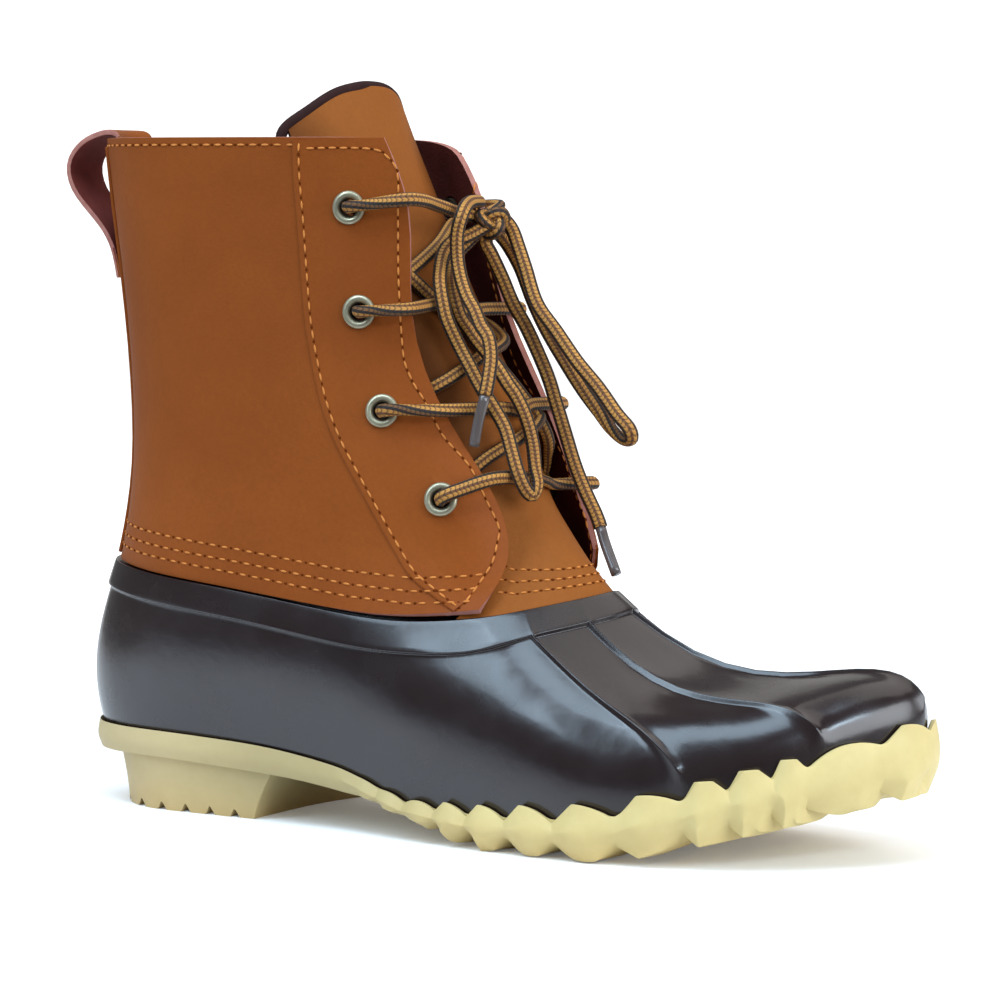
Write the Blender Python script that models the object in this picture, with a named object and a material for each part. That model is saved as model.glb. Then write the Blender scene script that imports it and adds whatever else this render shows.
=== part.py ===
"""A duck boot for the right foot: a rubber shoe on a chain-lug sole, with a laced leather shaft.

The boot is drawn on its last: x runs from the back of the heel to the toe, the lateral side is at -y,
the medial side at +y, and the floor is z = 0. An empty then sets the middle of the heel's tread on the
world's origin. Lengths are metres.
"""
import math
from collections import namedtuple

import bmesh
import bpy
import numpy as np
from mathutils import Vector

MM = 0.001

# Sizes of the last
LENGTH = 284 * MM            # sole, from the heel's back to the toe
BALL_WIDTH = 97 * MM         # sole, over the ball
RIM_HEIGHT = 26 * MM         # top of the sole's rim at the heel
EDGE_HEIGHT = 77.5 * MM      # top of the rubber at the heel
COLLAR_HEIGHT = 211 * MM     # top of the leather
ANKLE_WIDTH = 76 * MM        # leather, over the ankle
TONGUE_ABOVE = 16.5 * MM     # top of the tongue over the leather
TONGUE_HEIGHT = COLLAR_HEIGHT + TONGUE_ABOVE
HALF_BALL = BALL_WIDTH / 2
HALF_ANKLE = ANKLE_WIDTH / 2

# Walls and clearances
RUBBER = 2.4 * MM
FLANGE = 1.5 * MM
FLANGE_HEIGHT = 5.5 * MM
BAND_HEIGHT = 9.0 * MM
BAND_RISE = 1.2 * MM
BAND_STEP = 0.006            # share of the rubber's rise that the band's lower edge takes
LEATHER = 1.8 * MM
TONGUE_BASE = 1.5 * MM
TONGUE_PAD = 3.4 * MM
INSOLE = 3.0 * MM
GAP = 0.3 * MM
SNUG = 0.045                 # further gap round the rubber, as a share of the step between points

# Sole
LUG_RISE = 6 * MM            # lug tips over the creases between them
LUG_BULGE = 1.6 * MM
LUG_FADE = 0.03              # share of a turn over which the lugs begin
GROOVE = 4 * MM              # tread grooves
GROOVE_FLOOR = 3.5 * MM      # rubber left between the grooves and the bed
CHAIN_SWING = 3.5 * MM       # zigzag of the grooves across the tread
CHAIN_FADE = 10              # columns over which it dies out before the toe
BED_LIP = 0.6 * MM           # least height of the lugs over the bed
HEEL_RADIUS = 28 * MM        # tread of the heel
HEEL_FLARE = 3 * MM
HEEL_MIDDLE = 39.7 * MM      # centre of the heel's round back
HEEL_STRAIGHT = 15 * MM      # where its straight sides begin
HEEL_LET_IN = 1.2 * MM       # heel block into the sole
BREAST = 75 * MM             # front of the heel's tread
BREAST_SKEW = 3 * MM
BREAST_SLOPE = 9 * MM
BREAST_HOLLOW = 3 * MM
NOTCH_WIDTH = 5 * MM
NOTCH_DEPTH = 3 * MM
NOTCH_REACH = 8 * MM
HEEL_REST = 42 * MM          # middle of the heel's tread, set on the world's origin

# Vamp ribs
RIB_RISE = 1.4 * MM
RIB_TURNS = (0.362, 0.428, 0.5, 0.572, 0.638)
RIB_HALF = 0.0036
# course of the lateral ribs, as shares of the way up the vamp and the turn they are off their place there
RIB_COURSE = ((0.0, 0.15, 0.35, 0.55, 0.8, 1.0), (0.0215, 0.0185, 0.0145, 0.0085, -0.004, -0.021))
# how much of that course the columns take, by turn
RIB_PULL = ((0.2, 0.362, 0.428, 0.5, 0.572, 0.638, 0.8), (0.0, 1.0, 0.8, 0.0, -0.8, -1.0, 0.0))

# Leather overlays and trim
FOOT_BLEND = 0.3             # share of the height over which the leather leaves the line of its foot
FACING_LIFT = 2.3 * MM       # facings over the tongue's base
FACING_DIP = 3.5 * MM        # medial facing's top corner, under the collar's height
STAY_HALF = 9 * MM           # half the width of the strip over the back seam
STAY = 1.2 * MM
LOOP_WIDTH = 18 * MM
LOOP = 1.8 * MM
LOOP_REACH = 13.5 * MM       # pull loop behind the collar
LOOP_DROP = 0.202 * (COLLAR_HEIGHT - EDGE_HEIGHT)    # down to where it lies on the leather again
COLLAR_ROUND = 21 * MM       # radius of the collar at the back
EYELET_RADIUS = 5.2 * MM
EYELET_BORE = 2.9 * MM
EYELET_ROLL = 1.7 * MM       # rolled rim over the leather's face
EYELET_SEAT = 0.9 * MM       # under the rolled rim
WASHER = 0.5 * MM
WASHER_GAP = 1.0 * MM
FLANGE_STEP = 1.0 * MM       # from the bore to the top of the roll, and from the rim to the washer's
PUNCH_RADIUS = 4.0 * MM
BARREL = 0.5 * MM

# Laces
LACE_RADIUS = 2.2 * MM
LACE_SQUEEZED = 1.3 * MM     # radius where it runs under the facings
LACE_CLEAR = 0.3             # over the tongue, as a share of its radius
EDGE_CLEAR = 2.3 * MM        # over the facings' edges
INNER_PLACES = (-0.5, 0.0, 0.5)      # places on the tongue that the inner runs pass
BAR_PLACES = (-0.22, 0.06, 0.34)     # and the bars
CORD_STEP = 5.2              # distance between a free lace's points, in radii
KNOT_STEP = 1.36

SoleRow = namedtuple("SoleRow", "place x lateral medial bottom bed rim rise")
SOLE = (
    # x is a share of LENGTH, lateral and medial of HALF_BALL, bottom, bed and rim of RIM_HEIGHT, rise of LUG_RISE
    SoleRow("heel back", 0.0, 0.0, 0.0, 0.67, 0.84, 1.0, 0.0),
    SoleRow("heel corner", 0.035, 0.49, 0.49, 0.67, 0.84, 1.0, 0.0),
    SoleRow("heel side", 0.12, 0.70, 0.70, 0.68, 0.84, 1.0, 0.0),
    SoleRow("heel front", 0.25, 0.73, 0.70, 0.62, 0.79, 0.95, 0.0),
    SoleRow("waist", 0.37, 0.76, 0.69, 0.50, 0.67, 0.79, 0.0),
    SoleRow("midfoot", 0.475, 0.855, 0.74, 0.19, 0.38, 0.43, 0.40),
    SoleRow("joint", 0.56, 0.93, 0.83, 0.0, 0.33, 0.38, 0.70),
    SoleRow("ball", 0.69, 1.0, 0.97, 0.0, 0.35, 0.45, 1.0),
    SoleRow("little toe", 0.803, 0.915, 0.96, 0.23, 0.54, 0.77, 0.85),
    SoleRow("toe side", 0.905, 0.64, 0.825, 0.51, 0.88, 1.11, 0.8),
    SoleRow("toe corner", 0.972, 0.27, 0.557, 0.70, 1.14, 1.38, 0.75),
    SoleRow("tip", 1.007, -0.124, 0.124, 0.80, 1.27, 1.51, 0.75),
)
LUG_CREASES = (
    0.366, 0.40, 0.43, 0.465, 0.506, 0.548, 0.597, 0.657, 0.731, 0.803, 0.848, 0.889, 0.919, 0.978, 1.007,
)

RimRow = namedtuple("RimRow", "height plain crease lug")
RIM = (
    # height is a share of the way from the lugs' foot to the rim, the insets are in LUG_BULGE: plain at the heel
    # and the waist, crease added between lugs, lug taken off again at their tips
    RimRow(0.0, 0.94, 2.19, 1.0),
    RimRow(0.28, 0.25, 1.0, 1.5),
    RimRow(0.55, 0.0, 0.35, 1.0),
    RimRow(1.0, 0.56, 0.875, 0.6),
)

ShellRow = namedtuple("ShellRow", "inset low_out low reach high_out high scoop edge_x edge_y edge_z")
SHELL = (
    # inset, low_out, high_out and scoop are in millimetres, low, high and edge_z shares of EDGE_HEIGHT,
    # reach is a share of the way from edge to foot, edge_x a share of LENGTH, edge_y of HALF_BALL
    ShellRow(3.0, 7.5, 0.58, 0.0, 6.5, 0.75, 0.0, 0.025, 0.0, 1.0),
    ShellRow(3.0, 7.5, 0.57, 0.0, 6.0, 0.75, 0.0, 0.046, 0.35, 0.993),
    ShellRow(3.0, 5.0, 0.57, 0.0, 3.0, 0.75, 0.0, 0.12, 0.63, 0.968),
    ShellRow(3.0, 6.0, 0.54, 0.0, 3.0, 0.72, 0.0, 0.255, 0.73, 0.923),
    ShellRow(3.0, 7.0, 0.49, 0.0, 3.0, 0.70, 0.0, 0.39, 0.78, 0.867),
    ShellRow(4.0, 6.0, 0.47, 0.0, 4.0, 0.70, 0.0, 0.47, 0.75, 0.853),
    ShellRow(4.5, 6.0, 0.50, 0.15, 5.0, 0.75, 0.5, 0.53, 0.68, 0.868),
    ShellRow(5.0, 5.0, 0.52, 0.3, 4.5, 0.74, 2.0, 0.577, 0.55, 0.897),
    ShellRow(5.2, 5.5, 0.58, 0.35, 3.5, 0.66, 5.2, 0.605, 0.39, 0.922),
    ShellRow(4.8, 7.0, 0.76, 0.38, 1.5, 0.59, 7.6, 0.628, 0.21, 0.944),
    ShellRow(4.5, 8.5, 0.93, 0.40, 0.0, 0.56, 8.5, 0.6375, 0.08, 0.955),
    ShellRow(4.5, 9.5, 1.03, 0.40, 0.0, 0.56, 8.5, 0.640, 0.0, 0.959),
)
FLANGE_LEAN = (0.2, 0.2, 0.05, 0.02, 0.02, 0.05, 0.15, 0.35, 0.6, 0.8, 0.88, 0.9)

ShaftRow = namedtuple("ShaftRow", "share z back heel_x heel_y side_x side_y lateral_eye_x lateral_eye_y "
                                  "lateral_x lateral_y medial_eye_x medial_eye_y medial_x medial_y")
SHAFT = (
    # share runs up the leather, z is a share of the way from EDGE_HEIGHT to COLLAR_HEIGHT, x of LENGTH,
    # y of HALF_ANKLE
    ShaftRow(0.15, 0.0643, 0.0345, 0.09, 0.70, 0.285, 0.95, 0.51, 0.83, 0.556, 0.54, 0.535, 0.79, 0.597, 0.395),
    ShaftRow(0.28, 0.1987, 0.046, 0.095, 0.69, 0.27, 0.95, 0.489, 0.816, 0.539, 0.547, 0.503, 0.84, 0.56, 0.59),
    ShaftRow(0.46, 0.3931, 0.045, 0.095, 0.67, 0.25, 0.94, 0.4165, 0.816, 0.475, 0.60, 0.444, 0.89, 0.512, 0.71),
    ShaftRow(0.65, 0.6175, 0.0335, 0.085, 0.66, 0.235, 0.93, 0.39, 0.816, 0.441, 0.66, 0.40, 0.88, 0.4595, 0.67),
    ShaftRow(0.86, 0.8419, 0.016, 0.07, 0.66, 0.22, 0.95, 0.3775, 0.816, 0.443, 0.685, 0.38, 0.84, 0.4375, 0.63),
    ShaftRow(1.0, 1.0000, 0.007, 0.06, 0.67, 0.21, 0.97, 0.3645, 0.87, 0.4155, 0.745, 0.352, 0.855, 0.398, 0.72),
)
TUCK_SHARES = (0.0, 0.10, 0.20, 0.92, 1.0)
TUCK = (2.8, 3.4, 7.6, 7.6, 6.2)    # millimetres from the facings' outer face down to the tongue
TUCK_FADE = 13 * MM
SHAFT_PLACES = (-1.0, -0.8, -0.5, -0.22, 0.0, 0.22, 0.5, 0.8, 1.0)
FACING_TURN = 0.285          # where the facings end on the rubber's edge

TongueRow = namedtuple("TongueRow", "share z x half drop turn")
TONGUE = (
    # share runs up the tongue, z is a share of the way from EDGE_HEIGHT to TONGUE_HEIGHT, x of LENGTH,
    # half width and drop of HALF_ANKLE, turn is how far the medial half is ahead of the lateral one
    TongueRow(0.09, 0.0566, 0.602, 0.67, 0.48, 0.0),
    TongueRow(0.155, 0.1127, 0.575, 0.71, 0.53, 0.04),
    TongueRow(0.225, 0.1764, 0.548, 0.72, 0.54, 0.1),
    TongueRow(0.32, 0.2826, 0.528, 0.74, 0.44, 0.15),
    TongueRow(0.42, 0.3933, 0.493, 0.76, 0.37, 0.2),
    TongueRow(0.60, 0.5632, 0.442, 0.79, 0.32, 0.2),
    TongueRow(0.78, 0.7573, 0.390, 0.76, 0.28, 0.2),
    TongueRow(1.0, 1.0000, 0.345, 0.71, 0.25, 0.2),
)
TONGUE_PLACES = (-1.0, -0.5, 0.0, 0.5, 1.0)
TONGUE_ROUND = 14 * MM       # its top corners, under the middle of its top
TONGUE_TURN = 0.265          # where the tongue's base ends on the rubber's edge

RunRow = namedtuple("RunRow", "start end inside near middle far")
RUNS = (
    # the lace's runs in the order it takes them, eyelets counted from the top, lateral ones negative; near,
    # middle and far are the heights at which a run crosses the tongue, as shares of the leather's height
    RunRow(1, -2, True, 0.6823, 0.7424, 0.7945),
    RunRow(-2, 2, False, 0.6159, 0.5970, 0.6001),
    RunRow(2, -3, True, 0.4500, 0.4974, 0.5243),
    RunRow(-3, 3, False, 0.3789, 0.3725, 0.3820),
    RunRow(3, -4, True, 0.2698, 0.3204, 0.3520),
    RunRow(-4, 4, False, 0.2255, 0.2145, 0.2034),
    RunRow(4, -1, True, 0.6934, 0.5164, 0.3409),
)

PassageRow = namedtuple("PassageRow", "along high radius")
PASSAGE = (
    # how a lace goes through an eyelet, in millimetres beside its middle and above the leather
    PassageRow(11.0, -5.2, 1.3), PassageRow(6.5, -5.2, 1.3), PassageRow(2.2, -5.2, 1.3), PassageRow(0.0, -2.7, 1.9),
    PassageRow(0.2, 1.0, 2.2),
    PassageRow(2.6, 4.2, 2.2), PassageRow(7.5, 4.2, 2.2),
)

RouteRow = namedtuple("RouteRow", "x y z")
# Heights at which the top runs cross the facings' edges, as shares of the leather's height
FAR_TAIL_HEIGHT = 0.8419
NEAR_TAIL_HEIGHT = 0.8609
# Routes of the bow, hand-placed points with x a share of LENGTH, y of HALF_ANKLE and z of the leather's height
FAR_TAIL = (RouteRow(0.4507, 0.463, 0.8309),)
NEAR_TAIL = (
    RouteRow(0.453, -0.62, 0.8593), RouteRow(0.451, -0.42, 0.8514), RouteRow(0.453, -0.24, 0.8419),
    RouteRow(0.4515, -0.07, 0.8340), RouteRow(0.4545, 0.12, 0.8238),
)
NEAR_LOOP = (
    RouteRow(0.463, 0.066, 0.7835), RouteRow(0.454, -0.013, 0.7708), RouteRow(0.447, -0.092, 0.7598),
    RouteRow(0.445, -0.184, 0.7345), RouteRow(0.452, -0.316, 0.6997), RouteRow(0.461, -0.434, 0.6697),
    RouteRow(0.467, -0.461, 0.6286), RouteRow(0.472, -0.447, 0.5875), RouteRow(0.482, -0.382, 0.5274),
    RouteRow(0.495, -0.382, 0.4832), RouteRow(0.507, -0.382, 0.4421), RouteRow(0.528, -0.434, 0.3931),
    RouteRow(0.542, -0.434, 0.3488), RouteRow(0.551, -0.447, 0.2998), RouteRow(0.560, -0.461, 0.2508),
    RouteRow(0.565, -0.408, 0.2129), RouteRow(0.569, -0.342, 0.1987), RouteRow(0.570, -0.289, 0.2208),
    RouteRow(0.563, -0.224, 0.2540), RouteRow(0.553, -0.132, 0.3109), RouteRow(0.544, -0.118, 0.3678),
    RouteRow(0.533, -0.132, 0.4152), RouteRow(0.525, -0.158, 0.4421), RouteRow(0.516, -0.171, 0.4721),
    RouteRow(0.505, -0.197, 0.5053), RouteRow(0.491, -0.237, 0.5432), RouteRow(0.482, -0.250, 0.5685),
    RouteRow(0.475, -0.276, 0.5922), RouteRow(0.470, -0.289, 0.6223), RouteRow(0.461, -0.224, 0.6554),
    RouteRow(0.447, -0.053, 0.6855), RouteRow(0.444, 0.026, 0.7187), RouteRow(0.444, 0.079, 0.7455),
    RouteRow(0.449, 0.105, 0.7487), RouteRow(0.452, 0.132, 0.7534),
)
FAR_LOOP = (
    RouteRow(0.491, 0.342, 0.7866), RouteRow(0.502, 0.303, 0.7534), RouteRow(0.514, 0.263, 0.7044),
    RouteRow(0.532, 0.211, 0.6254), RouteRow(0.558, 0.184, 0.5622), RouteRow(0.586, 0.158, 0.4942),
    RouteRow(0.613, 0.132, 0.4389), RouteRow(0.637, 0.105, 0.3820), RouteRow(0.653, 0.092, 0.3488),
    RouteRow(0.653, 0.132, 0.3251), RouteRow(0.639, 0.197, 0.3141), RouteRow(0.623, 0.237, 0.3330),
    RouteRow(0.606, 0.263, 0.3789), RouteRow(0.583, 0.289, 0.4310), RouteRow(0.560, 0.316, 0.4911),
    RouteRow(0.535, 0.342, 0.5622), RouteRow(0.516, 0.368, 0.6286), RouteRow(0.495, 0.434, 0.7044),
    RouteRow(0.477, 0.500, 0.7487), RouteRow(0.468, 0.513, 0.7645),
)
NEAR_END = (
    RouteRow(0.460, 0.224, 0.8578), RouteRow(0.465, -0.026, 0.8546), RouteRow(0.474, -0.250, 0.8309),
    RouteRow(0.470, -0.276, 0.7866), RouteRow(0.470, -0.276, 0.7345), RouteRow(0.477, -0.316, 0.6886),
    RouteRow(0.489, -0.368, 0.6444), RouteRow(0.502, -0.408, 0.6112), RouteRow(0.512, -0.434, 0.5764),
    RouteRow(0.523, -0.461, 0.5511), RouteRow(0.528, -0.487, 0.5100), RouteRow(0.530, -0.539, 0.4689),
    RouteRow(0.528, -0.566, 0.4310), RouteRow(0.521, -0.579, 0.3710), RouteRow(0.516, -0.592, 0.3077),
)
FAR_END = (
    RouteRow(0.465, 0.197, 0.7598), RouteRow(0.472, 0.250, 0.7376), RouteRow(0.482, 0.303, 0.6823),
    RouteRow(0.493, 0.342, 0.6223), RouteRow(0.509, 0.368, 0.5622), RouteRow(0.532, 0.382, 0.4642),
    RouteRow(0.544, 0.382, 0.3962), RouteRow(0.556, 0.382, 0.3251), RouteRow(0.570, 0.355, 0.2540),
    RouteRow(0.586, 0.316, 0.1955), RouteRow(0.604, 0.276, 0.1355), RouteRow(0.616, 0.237, 0.0817),
    RouteRow(0.634, 0.171, 0.0153),
)
KNOT = (
    RouteRow(0.451, 0.329, 0.8309), RouteRow(0.461, 0.316, 0.8467), RouteRow(0.474, 0.303, 0.8419),
    RouteRow(0.486, 0.276, 0.8277), RouteRow(0.493, 0.237, 0.8056), RouteRow(0.491, 0.184, 0.7835),
    RouteRow(0.482, 0.145, 0.7708), RouteRow(0.474, 0.118, 0.7756), RouteRow(0.470, 0.105, 0.7945),
    RouteRow(0.475, 0.105, 0.8167), RouteRow(0.484, 0.118, 0.8246),
)

EYELET_SHARES = (0.86, 0.64, 0.45, 0.27)
EYELET_PLACE = 0.8


def material(name, colour, roughness, metallic=0.0):
    """A plain Principled material."""
    made = bpy.data.materials.new(name)
    made.use_nodes = True
    shader = made.node_tree.nodes["Principled BSDF"]
    shader.inputs["Base Color"].default_value = (*colour, 1.0)
    shader.inputs["Roughness"].default_value = roughness
    shader.inputs["Metallic"].default_value = metallic
    return made


def weights(knots, at, closed=False):
    """Matrix that turns values at the knots into a natural, or closed, cubic spline's values at `at`."""
    knots = np.asarray(knots, float)
    at = np.atleast_1d(np.asarray(at, float))
    count = len(knots)
    ends = np.append(knots, knots[0] + 1.0) if closed else knots
    steps = np.diff(ends)
    system = np.zeros((count, count))
    slopes = np.zeros((count, count))
    for i in range(count):
        if not closed and i in (0, count - 1):
            system[i, i] = 1.0
            continue
        before = steps[i - 1]
        after = steps[i % len(steps)]
        system[i, i - 1] += before
        system[i, i] += 2 * (before + after)
        system[i, (i + 1) % count] += after
        slopes[i, (i + 1) % count] += 6 / after
        slopes[i, i] -= 6 / after + 6 / before
        slopes[i, i - 1] += 6 / before
    bends = np.linalg.solve(system, slopes)
    if closed:
        at = knots[0] + (at - knots[0]) % 1.0
    left = np.clip(np.searchsorted(ends, at, side="right") - 1, 0, len(steps) - 1)
    right = (left + 1) % count
    step = steps[left]
    b = (at - ends[left]) / step
    a = 1 - b
    unit = np.eye(count)
    bow = ((a ** 3 - a) * step ** 2 / 6)[:, None] * bends[left] + ((b ** 3 - b) * step ** 2 / 6)[:, None] * bends[right]
    return a[:, None] * unit[left] + b[:, None] * unit[right] + bow


def level(knots, values, at):
    """Cubic through the values that never swings past them, for heights with flat stretches."""
    knots = np.asarray(knots, float)
    values = np.asarray(values, float)
    steps = np.diff(knots)
    slopes = np.diff(values) / steps
    tangents = np.zeros(len(knots))
    for i in range(1, len(knots) - 1):
        if slopes[i - 1] * slopes[i] > 0:
            tangents[i] = 2 / (1 / slopes[i - 1] + 1 / slopes[i])
    at = np.clip(at, knots[0], knots[-1])
    left = np.clip(np.searchsorted(knots, at, side="right") - 1, 0, len(steps) - 1)
    step = steps[left]
    b = (at - knots[left]) / step
    rise = values[left + 1] - values[left]
    start = tangents[left] * step
    end = tangents[left + 1] * step
    return values[left] + start * b + (3 * rise - 2 * start - end) * b ** 2 + (start + end - 2 * rise) * b ** 3


def leather_height(share):
    """Height above the floor at a share of the leather's height over the rubber."""
    return EDGE_HEIGHT + share * (COLLAR_HEIGHT - EDGE_HEIGHT)


def column(rows, name, unit=1.0):
    """One named column of a table, in metres."""
    return np.array([getattr(row, name) for row in rows]) * unit


def row_turns():
    """Share of a turn round the sole at each row of its table: 0 at the heel's back, 0.5 at the toe."""
    x = column(SOLE, "x", LENGTH)
    y = (column(SOLE, "lateral", HALF_BALL) + column(SOLE, "medial", HALF_BALL)) / 2
    run = np.concatenate([[0.0], np.cumsum(np.hypot(np.diff(x), np.diff(y)))])
    return 0.5 * run / run[-1]


TURNS = row_turns()
RING_KNOTS = np.concatenate([TURNS, 1 - TURNS[-2:0:-1]])


def ring(lateral, turns, medial=None):
    """Closed curve through a column's values on the lateral side and back along the medial side."""
    medial = lateral if medial is None else medial
    values = np.concatenate([lateral, medial[-2:0:-1]])
    return weights(RING_KNOTS, turns, closed=True) @ values


def ring_level(values, turns):
    """Like ring, for heights that keep their flat stretches."""
    turns = np.asarray(turns) % 1.0
    return level(TURNS, values, np.minimum(turns, 1 - turns))


def plan(turns, inset=0.0):
    """Points of the sole's outline seen from above, moved inwards by the inset, and the outward direction."""
    turns = np.atleast_1d(np.asarray(turns, float))

    def curve(at):
        x = ring(column(SOLE, "x", LENGTH), at)
        y = ring(-column(SOLE, "lateral", HALF_BALL), at, column(SOLE, "medial", HALF_BALL))
        return np.stack([x, y], 1)

    tiny = 1e-4
    ahead = curve(turns + tiny) - curve(turns - tiny)
    out = np.stack([ahead[:, 1], -ahead[:, 0]], 1)
    out /= np.linalg.norm(out, axis=1)[:, None]
    return curve(turns) - out * np.reshape(inset, (-1, 1)), out


def edge(turns):
    """The line where leather meets rubber."""
    x = ring(column(SHELL, "edge_x", LENGTH), turns)
    side = column(SHELL, "edge_y", HALF_BALL)
    y = ring(-side, turns, side)
    z = ring(column(SHELL, "edge_z", EDGE_HEIGHT), turns)
    return np.stack([x, y, z], 1)


def shell_point(turns, rise):
    """Outer face of the rubber: rise 0 at the sole's bed, 1 at the leather's edge."""
    turns = np.atleast_1d(np.asarray(turns, float))
    rise = np.broadcast_to(np.asarray(rise, float), turns.shape)[:, None]
    foot_xy, out = plan(turns, ring(column(SHELL, "inset", MM), turns))
    foot = np.column_stack([foot_xy, ring_level(column(SOLE, "bed", RIM_HEIGHT), turns) + GAP])
    low_xy = foot_xy + out * ring(column(SHELL, "low_out", MM), turns)[:, None]
    low = np.column_stack([low_xy, ring(column(SHELL, "low", EDGE_HEIGHT), turns)])
    top = edge(turns)
    high_xy = top[:, :2] + (foot_xy - top[:, :2]) * ring(column(SHELL, "reach"), turns)[:, None]
    high_xy = high_xy + out * ring(column(SHELL, "high_out", MM), turns)[:, None]
    high = np.column_stack([high_xy, ring(column(SHELL, "high", EDGE_HEIGHT), turns)])
    rest = 1 - rise
    point = rest ** 3 * foot + 3 * rest ** 2 * rise * low + 3 * rest * rise ** 2 * high + rise ** 3 * top
    scoop_peak = (2 / 3) ** 4 * (1 / 3) ** 2
    scoop = ring(column(SHELL, "scoop", MM), turns) * (rise ** 4 * rest ** 2 / scoop_peak)[:, 0]
    point[:, 2] -= scoop
    return point


def shell_normal(turns, rise):
    """Outward direction of the rubber's outer face."""
    tiny = 1e-3
    rise = np.broadcast_to(np.asarray(rise, float), np.shape(turns))
    along = shell_point(turns + tiny, rise) - shell_point(turns - tiny, rise)
    low = np.clip(rise - tiny, 0, 1)
    high = np.clip(rise + tiny, 0, 1)
    up = shell_point(turns, high) - shell_point(turns, low)
    normal = np.cross(along, up)
    return normal / np.linalg.norm(normal, axis=1)[:, None]


def rise_at_height(turns, height):
    """Rise at which the rubber's outer face reaches a height near the sole."""
    low = np.zeros(len(turns))
    high = np.full(len(turns), 0.5)
    for _ in range(24):
        middle = (low + high) / 2
        above = shell_point(turns, middle)[:, 2] > height
        high = np.where(above, middle, high)
        low = np.where(above, low, middle)
    return low


def grid_faces(index, wrap_rows=False, wrap_columns=False):
    """Quads between neighbouring rows and columns of point numbers."""
    rows, columns = index.shape
    faces = []
    for i in range(rows if wrap_rows else rows - 1):
        for j in range(columns if wrap_columns else columns - 1):
            down = (i + 1) % rows
            across = (j + 1) % columns
            faces.append((index[i, j], index[i, across], index[down, across], index[down, j]))
    return faces


def piece(name, points, faces, finish, parent=None, smooth=40):
    """A closed mesh object with its faces pointing out."""
    mesh = bpy.data.meshes.new(name)
    mesh.from_pydata([tuple(map(float, point)) for point in points], [], [tuple(map(int, face)) for face in faces])
    work = bmesh.new()
    work.from_mesh(mesh)
    bmesh.ops.recalc_face_normals(work, faces=work.faces)
    work.to_mesh(mesh)
    work.free()
    mesh.shade_smooth()
    mesh.set_sharp_from_angle(angle=math.radians(smooth))
    made = bpy.data.objects.new(name, mesh)
    bpy.context.scene.collection.objects.link(made)
    made.data.materials.append(finish)
    made.parent = parent or BOOT
    return made


def hide_cutter(cutter):
    """Mark an object that only shapes another one."""
    cutter.hide_render = True
    cutter.display_type = "WIRE"


def boolean(target, cutter, operation):
    """Join or cut one object with another."""
    made = target.modifiers.new(f"{operation.lower()} {cutter.name}", "BOOLEAN")
    made.operation = operation
    made.solver = "EXACT"
    made.object = cutter
    hide_cutter(cutter)


def slab(name, outer, inner, finish):
    """Closed wall between two open grids of points."""
    rows, columns = outer.shape[:2]
    points = np.concatenate([outer.reshape(-1, 3), inner.reshape(-1, 3)])
    front = np.arange(rows * columns).reshape(rows, columns)
    back = front + rows * columns
    faces = grid_faces(front) + grid_faces(back[::-1])
    rim = np.concatenate([front[0], front[1:, -1], front[-1, -2::-1], front[-2:0:-1, 0]])
    rim_back = rim + rows * columns
    faces += grid_faces(np.stack([rim, rim_back]), wrap_columns=True)
    return piece(name, points, faces, finish)


def ladder(points, faces, ring_index, cross, inner_point):
    """Close a ring that is the same on both sides with rows across it."""
    half = len(ring_index) // 2
    rows = []
    for i in range(1, half):
        start = len(points)
        points.extend(inner_point(i, share / cross) for share in range(1, cross))
        rows.append([ring_index[i], *range(start, start + cross - 1), ring_index[-i]])
    for near, far in zip(rows, rows[1:]):
        for j in range(cross):
            faces.append((near[j], near[j + 1], far[j + 1], far[j]))
    for j in range(cross):
        faces.append((ring_index[0], rows[0][j], rows[0][j + 1]))
        faces.append((ring_index[half], rows[-1][j], rows[-1][j + 1]))


def crease_turns():
    """Share of a turn at each crease between lugs, on the lateral side."""
    turns = np.linspace(0, 0.5, 400)
    x = plan(turns)[0][:, 0]
    return np.interp(np.array(LUG_CREASES) * LENGTH, x, turns)


def sole_columns():
    """Turns of the outsole's columns with the lug wave at each: 0 in a crease, 1 at a lug's tip."""
    creases = crease_turns()
    plain = 15                   # columns before the first lug
    turns = list(np.linspace(0, creases[0], plain, endpoint=False))
    wave = [0.0] * plain
    tread = [1.0] * plain
    for start, end in zip(creases, creases[1:]):
        for share, tip, flat in ((0.0, 0.0, 0.0), (0.34, 1.0, 1.0), (0.68, 0.85, 1.0)):
            turns.append(start + share * (end - start))
            wave.append(tip)
            tread.append(flat)
    turns.append(0.5)
    wave.append(0.0)
    tread.append(0.0)
    turns = np.array(turns + [1 - turn for turn in turns[-2:0:-1]])
    wave = np.array(wave + wave[-2:0:-1])
    tread = np.array(tread + tread[-2:0:-1])
    return turns, wave, tread


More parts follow.
